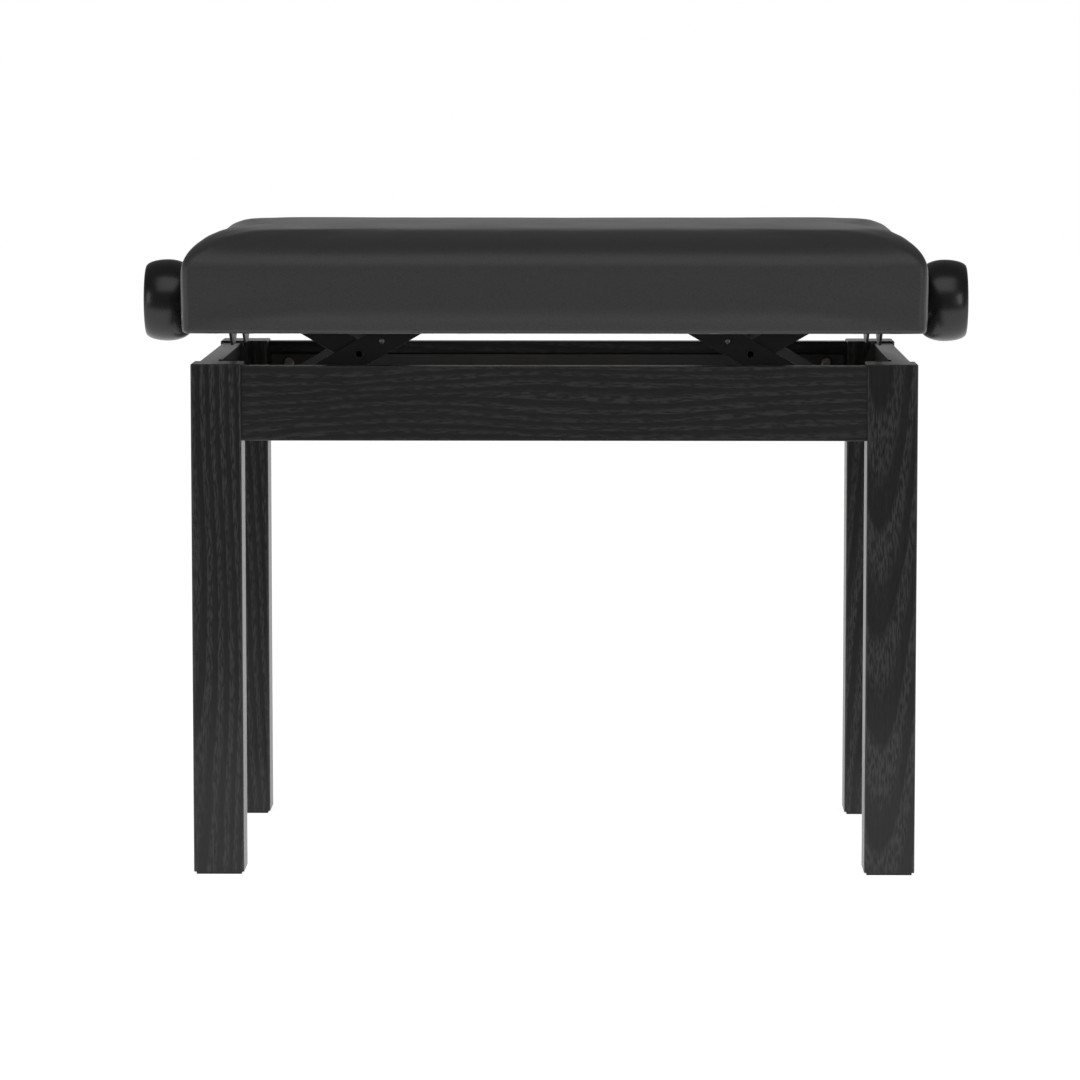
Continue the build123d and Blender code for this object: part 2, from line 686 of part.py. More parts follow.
for side_name, side_x in SIDES.items():
    neck_radius, face_radius = knob_neck_diameter / 2, knob_face_diameter / 2
    face_edge = knob_length - knob_dome
    dome_radius = (face_radius**2 + knob_dome**2) / (2 * knob_dome)
    with BuildPart() as knob:
        with BuildSketch(knob_plane(side_x)):
            with BuildLine():
                Polyline((knob_length, 0), (knob_bore_depth, 0), (knob_bore_depth, spindle_radius),
                         (0, spindle_radius), (0, neck_radius))
                EllipticalCenterArc((knob_belly, neck_radius), knob_belly,
                                    knob_diameter / 2 - neck_radius, 90, arc_size=90)
                EllipticalCenterArc((knob_belly, face_radius), face_edge - knob_belly,
                                    knob_diameter / 2 - face_radius, 0, arc_size=90)
                CenterArc((knob_length - dome_radius, 0), dome_radius, 0,
                          math.degrees(math.asin(face_radius / dome_radius)))
            make_face()
        revolve(axis=Axis((0, 0, spindle_z), (1, 0, 0)))
        bore_z(set_screw_diameter, side_x * set_screw_x, 0, spindle_z, spindle_z - knob_diameter / 2)
    save(knob, f"{side_name}_knob")

with BuildPart() as knob_set_screws:
    for side_x in SIDES.values():
        bore_z(set_screw_diameter, side_x * set_screw_x, 0, spindle_z,
               spindle_z - spindle_radius - set_screw_length, Mode.ADD)
        bore_x(spindle_diameter, side_x * knob_neck_x, side_x * spindle_end, 0, spindle_z)
save(knob_set_screws, "knob_set_screws")


# Seat box -----------------------------------------------------------------------------------------

def cushion_form(inset, bottom, top, crown):
    """A seat-shaped solid with round corners and a rounded top edge, inset on all four sides."""
    with BuildPart() as form:
        with BuildSketch(Plane.XY.offset(bottom)):
            RectangleRounded(seat_length - 2 * inset, seat_width - 2 * inset, seat_corner_radius - inset)
        extrude(amount=top - bottom)
        fillet(form.faces().sort_by(Axis.Z)[-1].edges(), crown)
    return form.part


with BuildPart() as seat_board:
    span_box((-apron_outer_x, -apron_outer_y, board_bottom), (apron_outer_x, apron_outer_y, board_top))
    for x, y in rail_screw_places() + bracket_screw_places():
        bore_z(screw_diameter, x, y, board_bottom, board_bottom + screw_grip)
save(seat_board, "seat_board")

with BuildPart() as long_aprons:
    for side_y in ENDS.values():
        span_box((-apron_outer_x, side_y * apron_inner_y, apron_bottom),
                 (apron_outer_x, side_y * apron_outer_y, board_bottom))
save(long_aprons, "seat_long_aprons")

with BuildPart() as short_aprons:
    for side_x in SIDES.values():
        span_box((side_x * apron_inner_x, -apron_inner_y, apron_bottom),
                 (side_x * apron_outer_x, apron_inner_y, board_bottom))
        bore_x(spindle_hole_diameter, side_x * apron_inner_x, side_x * apron_outer_x, 0, spindle_z)
save(short_aprons, "seat_short_aprons")

with BuildPart() as side_padding:
    corner_setback = seat_corner_radius - cover_thickness - padding_thickness
    strip_x, strip_y = apron_outer_x - corner_setback, apron_outer_y - corner_setback
    for side_y in ENDS.values():
        span_box((-strip_x, side_y * apron_outer_y, apron_bottom),
                 (strip_x, side_y * (apron_outer_y + padding_thickness), board_top))
    for side_x in SIDES.values():
        span_box((side_x * apron_outer_x, -strip_y, apron_bottom),
                 (side_x * (apron_outer_x + padding_thickness), strip_y, board_top))
        bore_x(spindle_hole_diameter, side_x * apron_outer_x,
               side_x * (apron_outer_x + padding_thickness), 0, spindle_z)
save(side_padding, "side_padding")

foam_form = cushion_form(cover_thickness, board_top, foam_top, seat_crown_radius - cover_thickness)
outer_form = cushion_form(0, seat_bottom, seat_top, seat_crown_radius)
inner_form = cushion_form(cover_thickness, apron_bottom, foam_top, seat_crown_radius - cover_thickness)

with BuildPart() as seat_foam:
    add(foam_form)
save(seat_foam, "seat_foam")

with BuildPart() as seat_cover:
    add(outer_form)
    add(inner_form, mode=Mode.SUBTRACT)
    span_box((cover_hem - seat_length / 2, cover_hem - seat_width / 2, seat_bottom),
             (seat_length / 2 - cover_hem, seat_width / 2 - cover_hem, apron_bottom), Mode.SUBTRACT)
    for side_x in SIDES.values():
        bore_x(eyelet_hole_diameter, side_x * (seat_length / 2 - 2 * cover_thickness),
               side_x * seat_length / 2, 0, spindle_z)
save(seat_cover, "seat_cover")
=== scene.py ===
"""The finished look of a height-adjustable piano bench.

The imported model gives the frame, in metres: +X is to the right, the front is at -Y and +Z is up. The wooden legs and
rails stay as they are and get their finish. The steel lift gets eased edges, the screws get driven heads, the spindle
gets its threads, the knobs are turned again more finely, and the seat gets its padded cover.
"""

import json
import logging
import math
from collections.abc import Callable
from dataclasses import dataclass, field
from enum import Enum

import bpy
import numpy as np
from mathutils import Matrix, Vector
from mathutils.kdtree import KDTree

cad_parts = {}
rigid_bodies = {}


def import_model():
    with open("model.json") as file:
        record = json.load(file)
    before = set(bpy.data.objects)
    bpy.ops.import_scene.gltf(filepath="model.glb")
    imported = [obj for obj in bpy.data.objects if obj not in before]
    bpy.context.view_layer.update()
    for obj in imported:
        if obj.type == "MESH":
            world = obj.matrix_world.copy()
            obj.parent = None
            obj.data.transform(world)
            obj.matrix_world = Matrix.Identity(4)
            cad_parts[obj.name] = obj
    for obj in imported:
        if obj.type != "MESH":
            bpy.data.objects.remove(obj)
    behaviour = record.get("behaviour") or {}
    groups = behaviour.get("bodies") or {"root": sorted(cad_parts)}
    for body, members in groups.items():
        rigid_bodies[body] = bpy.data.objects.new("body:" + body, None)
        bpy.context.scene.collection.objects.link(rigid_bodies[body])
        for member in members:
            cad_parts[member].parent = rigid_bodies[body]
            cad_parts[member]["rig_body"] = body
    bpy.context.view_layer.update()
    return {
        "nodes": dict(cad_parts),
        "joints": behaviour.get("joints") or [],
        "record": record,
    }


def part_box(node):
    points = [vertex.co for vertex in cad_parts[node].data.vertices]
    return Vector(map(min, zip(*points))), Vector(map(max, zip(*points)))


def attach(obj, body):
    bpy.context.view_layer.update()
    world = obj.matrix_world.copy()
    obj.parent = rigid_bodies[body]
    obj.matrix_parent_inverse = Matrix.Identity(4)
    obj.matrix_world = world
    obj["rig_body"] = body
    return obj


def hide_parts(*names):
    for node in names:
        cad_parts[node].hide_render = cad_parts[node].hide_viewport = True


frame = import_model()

LOG = logging.getLogger("piano_bench")
MM = 0.001
Socket = bpy.types.NodeSocket
Triple = tuple[float, float, float]


# Working with meshes ------------------------------------------------------------------------------


def deselect_everything() -> None:
    """Leave edit mode and select nothing."""
    if bpy.context.object is not None and bpy.context.object.mode != "OBJECT":
        bpy.ops.object.mode_set(mode="OBJECT")
    bpy.ops.object.select_all(action="DESELECT")


def take_up(piece: bpy.types.Object) -> None:
    """Make a piece the only selected and active one.

    Args:
        piece: The object to work on next.
    """
    deselect_everything()
    piece.select_set(True)
    bpy.context.view_layer.objects.active = piece


def apply_modifiers(piece: bpy.types.Object) -> None:
    """Apply every modifier of a piece in order.

    Args:
        piece: The object whose modifiers are applied.
    """
    take_up(piece)
    for modifier in list(piece.modifiers):
        bpy.ops.object.modifier_apply(modifier=modifier.name)


def settle_place(piece: bpy.types.Object) -> None:
    """Move a piece's place, turn and size into its mesh.

    Args:
        piece: The object that ends at the origin, unturned and unscaled.
    """
    take_up(piece)
    bpy.ops.object.transform_apply(location=True, rotation=True, scale=True)


def outward_faces(piece: bpy.types.Object) -> None:
    """Merge a closed piece's double points and turn its faces outwards.

    Args:
        piece: The object to put right.
    """
    take_up(piece)
    bpy.ops.object.mode_set(mode="EDIT")
    bpy.ops.mesh.select_all(action="SELECT")
    bpy.ops.mesh.remove_doubles(threshold=1e-6)
    bpy.ops.mesh.normals_make_consistent(inside=False)
    bpy.ops.object.mode_set(mode="OBJECT")


def smooth_by_angle(piece: bpy.types.Object, degrees: float) -> None:
    """Shade a piece smooth where its faces meet at a low angle.

    Args:
        piece: The object to shade.
        degrees: The angle above which an edge stays sharp.
    """
    take_up(piece)
    bpy.ops.object.shade_smooth_by_angle(angle=math.radians(degrees))


def join_pieces(pieces: list[bpy.types.Object], name: str) -> bpy.types.Object:
    """Join several pieces into one.

    Args:
        pieces: The objects to join.
        name: The name of the result.

    Returns:
        The joined object.
    """
    deselect_everything()
    for piece in pieces:
        piece.select_set(True)
    bpy.context.view_layer.objects.active = pieces[0]
    if len(pieces) > 1:
        bpy.ops.object.join()
    joined = bpy.context.view_layer.objects.active
    joined.name = joined.data.name = name
    return joined


class Part(Enum):
    """A kind of mesh part, as edit mode's choice among points, edges and faces."""

    EDGES = (False, True, False)
    FACES = (False, False, True)


def select_parts(piece: bpy.types.Object, part: Part,
                 wanted: Callable[[bpy.types.MeshEdge | bpy.types.MeshPolygon], bool]) -> None:
    """Select the edges or faces of a piece that pass a test, ready for edit mode.

    Args:
        piece: The object, in object mode.
        part: Whether to look at edges or faces.
        wanted: A test that takes an edge or face and says whether to select it.
    """
    take_up(piece)
    bpy.context.tool_settings.mesh_select_mode = part.value
    mesh = piece.data
    for parts in (mesh.vertices, mesh.edges, mesh.polygons):
        parts.foreach_set("select", np.zeros(len(parts), bool))
    parts = mesh.polygons if part is Part.FACES else mesh.edges
    parts.foreach_set("select", np.array([wanted(item) for item in parts], bool))


def solids_of(node: str) -> list[np.ndarray]:
    """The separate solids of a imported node.

    Args:
        node: The node's name.

    Returns:
        The points of each solid, one array a solid, in a fixed order.
    """
    mesh = frame["nodes"][node].data
    points = np.array([v.co for v in mesh.vertices], float)
    keys: dict[tuple[int, int, int], int] = {}
    same = np.array([keys.setdefault(tuple(np.round(p * 1e6).astype(int)), len(keys)) for p in points])
    parent = list(range(len(keys)))

    def root(point: int) -> int:
        """The point that stands for a point's whole solid.

        Args:
            point: The point's number.

        Returns:
            The number of the standing point.
        """
        while parent[point] != point:
            parent[point] = parent[parent[point]]
            point = parent[point]
        return point

    for edge in mesh.edges:
        a, b = root(same[edge.vertices[0]]), root(same[edge.vertices[1]])
        parent[a] = b
    groups: dict[int, list[int]] = {}
    for index, key in enumerate(same):
        groups.setdefault(root(key), []).append(index)
    solids = [points[members] for members in groups.values()]
    return sorted(solids, key=lambda p: tuple(np.round(p.mean(0), 4)))


def dress(piece: bpy.types.Object, material: bpy.types.Material, body: str) -> None:
    """Give a new piece its material and the body it moves with.

    Args:
        piece: The finished object.
        material: The material for all of it.
        body: The body it rides on.
    """
    piece.data.materials.clear()
    piece.data.materials.append(material)
    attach(piece, body)
    LOG.info("%s: %d faces, rides on %s", piece.name, len(piece.data.polygons), body)


def repaint(node: str, material: bpy.types.Material) -> None:
    """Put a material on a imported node.

    Args:
        node: The node's name.
        material: Its new material.
    """
    piece = frame["nodes"][node]
    if not piece.data.materials:
        piece.data.materials.append(material)
    for slot in piece.material_slots:
        slot.material = material
    LOG.info("%s: finished in %s", node, material.name)


# Finishes -----------------------------------------------------------------------------------------


class Recipe:
    """A material's node tree, built one step at a time."""

    def __init__(self, name: str, **constants: float | tuple[float, ...]) -> None:
        """Start a material with one shader.

        Args:
            name: The material's name.
            constants: Values for the shader's own sockets, by socket name with _ for a space.
        """
        self.material = bpy.data.materials.new(name)
        self.material.use_nodes = True
        self.tree = self.material.node_tree
        self.tree.nodes.clear()
        output = self.tree.nodes.new("ShaderNodeOutputMaterial")
        self.shader = self.tree.nodes.new("ShaderNodeBsdfPrincipled")
        self.tree.links.new(self.shader.outputs[0], output.inputs[0])
        for socket, value in constants.items():
            self.shader.inputs[socket.replace("_", " ")].default_value = value
        self.place = self.tree.nodes.new("ShaderNodeTexCoord").outputs["Object"]

    def add(self, kind: str, inputs: dict[str | int, object], **settings: str) -> bpy.types.ShaderNode:
        """Add a node.

        Args:
            kind: The node's type without its ShaderNode prefix.
            inputs: Values or links for its sockets, by name or number.
            settings: The node's own properties.

        Returns:
            The new node.
        """
        node = self.tree.nodes.new("ShaderNode" + kind)
        for key, value in settings.items():
            setattr(node, key, value)
        for key, value in inputs.items():
            if isinstance(value, Socket):
                self.tree.links.new(value, node.inputs[key])
            else:
                node.inputs[key].default_value = value
        return node

    def mapped(self, vector: Socket, location: Triple = (0, 0, 0), turn: Triple = (0, 0, 0),
               scale: Triple = (1, 1, 1)) -> Socket:
        """Move, turn and scale a vector.

        Args:
            vector: The vector.
            location: How far it moves.
            turn: How far it turns about each axis, in degrees.
            scale: What it is multiplied by along each axis.

        Returns:
            The new vector.
        """
        angles = tuple(math.radians(a) for a in turn)
        inputs = {"Vector": vector, "Location": location, "Rotation": angles, "Scale": scale}
        return self.add("Mapping", inputs).outputs[0]

    def noise(self, vector: Socket, scale: float = 1.0, detail: float = 2.0, roughness: float = 0.5,
              output: str = "Fac") -> Socket:
        """Cloudy noise along a vector."""
        inputs = {"Vector": vector, "Scale": scale, "Detail": detail, "Roughness": roughness}
        return self.add("TexNoise", inputs).outputs[output]

    def maths(self, operation: str, *values: Socket | float) -> Socket:
        """A sum, product or other number worked out from numbers."""
        return self.add("Math", dict(enumerate(values)), operation=operation).outputs[0]

    def vectors(self, operation: str, *values: Socket | Triple) -> bpy.types.ShaderNode:
        """A node that works out a vector or a length from vectors."""
        return self.add("VectorMath", dict(enumerate(values)), operation=operation)

    def ramp(self, value: Socket, *stops: tuple[float, float]) -> Socket:
        """Spread a number between grey levels.

        Args:
            value: The number.
            stops: The levels, as (position, level).

        Returns:
            The grey level as a colour.
        """
        node = self.add("ValToRGB", {"Fac": value})
        elements = node.color_ramp.elements
        while len(elements) < len(stops):
            elements.new(0.5)
        for element, (position, level) in zip(elements, stops):
            element.position = position
            element.color = (level, level, level, 1)
        return node.outputs["Color"]

    def blend(self, amount: Socket, low: Triple, high: Triple) -> Socket:
        """Mix two colours.

        Args:
            amount: 0 for the low colour, 1 for the high one.
            low: The low colour.
            high: The high colour.

        Returns:
            The mixed colour.
        """
        node = self.tree.nodes.new("ShaderNodeMix")
        node.data_type = "RGBA"
        self.tree.links.new(amount, node.inputs["Factor"])
        for socket, colour in ((node.inputs[6], low), (node.inputs[7], high)):
            socket.default_value = (*colour, 1)
        return node.outputs[2]

    def between(self, value: Socket, low: float, high: float) -> Socket:
        """A number from 0 to 1 spread between two values."""
        return self.add("MapRange", {"Value": value, "To Min": low, "To Max": high}).outputs[0]

    def bump(self, height: Socket, depth: float, strength: float) -> Socket:
        """A bumped normal, with the relief's depth in metres."""
        return self.add("Bump", {"Height": height, "Distance": depth, "Strength": strength}).outputs[0]

    def feed(self, **sockets: Socket) -> bpy.types.Material:
        """Link outputs to the shader's sockets.

        Args:
            sockets: Outputs by the shader socket's name, with _ for a space.

        Returns:
            The finished material.
        """
        for socket, output in sockets.items():
            self.tree.links.new(output, self.shader.inputs[socket.replace("_", " ")])
        return self.material


class GrainRun(Enum):
    """The way a board's grain runs, as the turn in degrees that brings it upright."""

    UPRIGHT = (0.0, 0.0, 0.0)
    ALONG_SEAT = (0.0, 90.0, 0.0)
    FRONT_TO_BACK = (90.0, 0.0, 0.0)


@dataclass(frozen=True)
class StainedAsh:
    """Open-pored ash under a thin black stain, with the growth rings of its own board."""

    name: str
    run: GrainRun
    heart: Triple
    lean: Triple
    ring_width: float = 4.6 * MM
    wander: float = 9 * MM
    dark: Triple = (0.0070, 0.0070, 0.0072)
    light: Triple = (0.042, 0.042, 0.0425)
    year: tuple[tuple[float, float], ...] = ((0.0, 0.12), (0.12, 0.90), (0.48, 0.72), (0.66, 0.16), (1.0, 0.03))

    def make(self) -> bpy.types.Material:
        """Build the material: rings round the tree's heart, broken by pores, fibres and paler patches.

        Returns:
            The finished material.
        """
        recipe = Recipe(self.name, Specular_IOR_Level=0.25, Coat_Weight=0.2, Coat_Roughness=0.16)
        upright = recipe.mapped(recipe.place, turn=self.run.value)
        drift = recipe.noise(recipe.mapped(upright, self.heart, scale=(13, 13, 3)), detail=2.5, output="Color")
        drift = recipe.vectors("SUBTRACT", drift, (0.5, 0.5, 0.5)).outputs[0]
        drift = recipe.vectors("MULTIPLY", drift, (self.wander, self.wander, 0)).outputs[0]
        board = recipe.vectors("ADD", recipe.mapped(upright, self.heart, self.lean), drift).outputs[0]
        from_heart = recipe.vectors("LENGTH", recipe.vectors("MULTIPLY", board, (1, 1, 0)).outputs[0]).outputs["Value"]
        rings = recipe.ramp(recipe.maths("FRACT", recipe.maths("DIVIDE", from_heart, self.ring_width)), *self.year)
        pores = recipe.ramp(recipe.noise(recipe.mapped(upright, scale=(760, 760, 130)), detail=1.0),
                            (0.38, 0.08), (0.62, 1.0))
        fibres = recipe.noise(recipe.mapped(upright, scale=(380, 380, 7)), detail=3.0, roughness=0.6)
        patches = recipe.noise(recipe.mapped(upright, self.heart, scale=(26, 26, 6)), detail=1.0)
        figure = recipe.maths("MULTIPLY", recipe.maths("MULTIPLY", rings, pores), recipe.between(patches, 0.35, 1.35))
        figure = recipe.maths("MULTIPLY_ADD", fibres, 0.30, figure)
        colour = recipe.blend(recipe.ramp(figure, (0.08, 0.0), (0.95, 1.0)), self.dark, self.light)
        relief = recipe.maths("MULTIPLY_ADD", fibres, 0.35, recipe.maths("MULTIPLY", figure, -1.0))
        return recipe.feed(Base_Color=colour, Roughness=recipe.between(figure, 0.36, 0.50),
                           Normal=recipe.bump(relief, 0.10 * MM, 0.40))


@dataclass(frozen=True)
class Leatherette:
    """Matte black coated cloth with a fine pebbled grain, its hollows painted darker as painted shade."""

    name: str = "leatherette_black"
    pebble: float = 0.9 * MM
    waver: float = 1.6 * MM
    hollow_painted_shade: Triple = (0.043, 0.043, 0.0434)
    raised: Triple = (0.055, 0.055, 0.0555)

    def make(self) -> bpy.types.Material:
        """Build the material.

        Returns:
            The finished material.
        """
        recipe = Recipe(self.name, Specular_IOR_Level=0.30)
        warp = recipe.noise(recipe.place, 240, 2.0, output="Color")
        warped = recipe.vectors("MULTIPLY_ADD", warp, (self.waver, self.waver, self.waver), recipe.place).outputs[0]
        cells = recipe.add("TexVoronoi", {"Vector": warped, "Scale": 1 / self.pebble}, feature="SMOOTH_F1").outputs[0]
        fine = recipe.noise(recipe.place, 2600, 2.0)
        clouds = recipe.noise(recipe.place, 22, 3.0)
        relief = recipe.maths("MULTIPLY_ADD", fine, 0.25, recipe.maths("MULTIPLY", cells, -1.0))
        # The grain's hollows get the darker colour as painted shade, and the raised cells stay lighter.
        colour = recipe.blend(recipe.ramp(cells, (0.15, 1.0), (0.70, 0.0)), self.hollow_painted_shade, self.raised)
        return recipe.feed(Base_Color=colour, Roughness=recipe.between(clouds, 0.33, 0.42),
                           Normal=recipe.bump(relief, 0.08 * MM, 0.35))


@dataclass(frozen=True)
class MouldedPlastic:
    """Black moulded plastic, from satin knobs to matte glides."""

    name: str
    colour: Triple
    rough: float
    texture: float

    def make(self) -> bpy.types.Material:
        """Build the material.

        Returns:
            The finished material.
        """
        recipe = Recipe(self.name, Specular_IOR_Level=0.5)
        fine = recipe.noise(recipe.place, 1500, 2.0)
        clouds = recipe.noise(recipe.place, 70, 2.0)
        low = tuple(0.85 * c for c in self.colour)
        high = tuple(1.25 * c for c in self.colour)
        return recipe.feed(Base_Color=recipe.blend(clouds, low, high),
                           Roughness=recipe.between(clouds, self.rough - 0.03, self.rough + 0.04),
                           Normal=recipe.bump(fine, self.texture, 0.5))


@dataclass(frozen=True)
class PowderCoat:
    """Satin black powder coat on sheet steel, with a faint orange peel."""

    name: str = "powder_coat_black"

    def make(self) -> bpy.types.Material:
        """Build the material.

        Returns:
            The finished material.
        """
        recipe = Recipe(self.name, Specular_IOR_Level=0.5)
        peel = recipe.noise(recipe.place, 620, 2.5)
        wear = recipe.noise(recipe.place, 45, 4.0)
        return recipe.feed(Base_Color=recipe.blend(wear, (0.021, 0.021, 0.0215), (0.038, 0.038, 0.039)),
                           Roughness=recipe.between(wear, 0.34, 0.46), Normal=recipe.bump(peel, 0.06 * MM, 0.5))


@dataclass(frozen=True)
class PlatedSteel:
    """Zinc-plated or turned steel, brushed or cut along one way."""

    name: str
    colour: Triple
    rough: float
    stretch: Triple

    def make(self) -> bpy.types.Material:
        """Build the material.

        Returns:
            The finished material.
        """
        recipe = Recipe(self.name, Metallic=1.0)
        marks = recipe.noise(recipe.mapped(recipe.place, scale=self.stretch), detail=3.0)
        clouds = recipe.noise(recipe.place, 90, 3.0)
        low = tuple(0.72 * c for c in self.colour)
        return recipe.feed(Base_Color=recipe.blend(clouds, low, self.colour),
                           Roughness=recipe.between(marks, self.rough - 0.07, self.rough + 0.10),
                           Normal=recipe.bump(marks, 0.03 * MM, 0.35))


@dataclass(frozen=True)
class BareBeech:
    """Plain unfinished beech with its short brown flecks."""

    name: str = "beech_bare"

    def make(self) -> bpy.types.Material:
        """Build the material.

        Returns:
            The finished material.
        """
        recipe = Recipe(self.name, Specular_IOR_Level=0.3)
        flecks = recipe.noise(recipe.mapped(recipe.place, turn=(0, 0, 45), scale=(120, 900, 900)), detail=2.0)
        grain = recipe.noise(recipe.mapped(recipe.place, turn=(0, 0, 45), scale=(8, 160, 160)), detail=3.0)
        mixed = recipe.maths("MULTIPLY_ADD", flecks, 0.5, recipe.maths("MULTIPLY", grain, 0.5))
        colour = recipe.blend(recipe.ramp(mixed, (0.35, 0.0), (0.62, 1.0)), (0.30, 0.185, 0.10), (0.47, 0.33, 0.20))
        return recipe.feed(Base_Color=colour, Roughness=recipe.between(grain, 0.62, 0.75),
                           Normal=recipe.bump(mixed, 0.08 * MM, 0.5))


@dataclass(frozen=True)
class BirchPly:
    """Birch plywood: a plain face veneer, with its layers showing on the edges."""

    name: str
    layered: int
    layer: float = 1.4 * MM
    plies: tuple[tuple[float, float], ...] = ((0.0, 0.72), (0.47, 0.72), (0.50, 1.0), (0.97, 1.0), (1.0, 0.72))

    def make(self) -> bpy.types.Material:
        """Build the material.

        Returns:
            The finished material.
        """
        recipe = Recipe(self.name, Specular_IOR_Level=0.3)
        grain = recipe.noise(recipe.mapped(recipe.place, scale=(6, 150, 150)), detail=4.0, roughness=0.6)
        broad = recipe.noise(recipe.mapped(recipe.place, scale=(2, 24, 24)), detail=2.0)
        axes = recipe.add("SeparateXYZ", {0: recipe.place})
        level = recipe.maths("DIVIDE", axes.outputs[self.layered], 2 * self.layer)
        plies = recipe.ramp(recipe.maths("FRACT", level), *self.plies)
        face = recipe.maths("MULTIPLY_ADD", broad, 0.5, recipe.maths("MULTIPLY", grain, 0.5))
        veneer = recipe.blend(recipe.ramp(face, (0.35, 0.0), (0.65, 1.0)), (0.34, 0.235, 0.135), (0.54, 0.41, 0.27))
        dulled = recipe.vectors("MULTIPLY", veneer, plies).outputs[0]
        return recipe.feed(Base_Color=dulled, Roughness=recipe.between(grain, 0.6, 0.75),
                           Normal=recipe.bump(grain, 0.08 * MM, 0.4))


class Workshop:
    """Every finish of the bench, made once and handed out by name."""

    def __init__(self) -> None:
        """Make all finishes."""
        self.leatherette = Leatherette().make()
        self.powder_coat = PowderCoat().make()
        self.zinc = PlatedSteel("steel_zinc_plated", (0.46, 0.46, 0.47), 0.36, (300, 300, 300)).make()
        self.turned = PlatedSteel("steel_turned", (0.50, 0.50, 0.51), 0.30, (4000, 30, 30)).make()
        self.knob = MouldedPlastic("plastic_knob_satin", (0.006, 0.006, 0.0063), 0.27, 0.02 * MM).make()
        self.glide = MouldedPlastic("plastic_glide_matte", (0.011, 0.011, 0.011), 0.55, 0.05 * MM).make()
        self.beech = BareBeech().make()
        self.board_ply = BirchPly("plywood_seat_board", 2).make()
        self.long_apron_ply = BirchPly("plywood_long_aprons", 1).make()
        self.short_apron_ply = BirchPly("plywood_short_aprons", 0).make()

    def by_slot(self, slot: str) -> bpy.types.Material:
        """The plain finish of one of the lift's material slots.

        Args:
            slot: The record's slot name.

        Returns:
            The material.
        """
        return {"black_steel": self.powder_coat, "zinc_steel": self.zinc, "knob_plastic": self.knob,
                "foot_plastic": self.glide}[slot]


# The wooden leg frame -----------------------------------------------------------------------------


QUIET_FIGURE: dict[str, float | Triple] = {
    "ring_width": 7.5 * MM, "wander": 48 * MM, "dark": (0.0105, 0.0105, 0.0107), "light": (0.031, 0.031, 0.0314),
}


@dataclass
class LegFrame:
    """The four legs, four rails and their blocks, which keep their shape and get their wood."""

    workshop: Workshop
    boards: tuple[StainedAsh, ...] = (
        StainedAsh("ash_front_left_leg", GrainRun.UPRIGHT, (0.294, 0.238, 0.0), (1.2, 1.6, 0.0), wander=17 * MM),
        StainedAsh("ash_front_right_leg", GrainRun.UPRIGHT, (-0.247, 0.222, 0.0), (2.6, 0.3, 0.0)),
        StainedAsh("ash_rear_left_leg", GrainRun.UPRIGHT, (0.286, -0.080, 0.0), (-1.5, 1.2, 0.0)),
        StainedAsh("ash_rear_right_leg", GrainRun.UPRIGHT, (-0.262, -0.075, 0.0), (-2.0, -1.1, 0.0)),
        StainedAsh("ash_front_rail", GrainRun.ALONG_SEAT, (0.352, 0.205, 0.0), (0.6, 0.5, 0.0), **QUIET_FIGURE),
        StainedAsh("ash_rear_rail", GrainRun.ALONG_SEAT, (0.349, -0.200, 0.0), (0.5, -0.7, 0.0), **QUIET_FIGURE),
        StainedAsh("ash_left_side_rail", GrainRun.FRONT_TO_BACK, (0.345, -0.350, 0.0), (0.9, 0.8, 0.0),
                   wander=12 * MM),
        StainedAsh("ash_right_side_rail", GrainRun.FRONT_TO_BACK, (-0.345, -0.355, 0.0), (-0.8, 0.6, 0.0),
                   wander=12 * MM),
    )

    def finish(self) -> None:
        """Give each leg and rail its own board, and the hidden wood its plain finish."""
        for board in self.boards:
            node = board.name.removeprefix("ash_")
            repaint(node, board.make())
        for node in ("corner_blocks", "rail_dowels"):
            repaint(node, self.workshop.beech)
        repaint("foot_pads", self.workshop.glide)


# The steel lift -----------------------------------------------------------------------------------


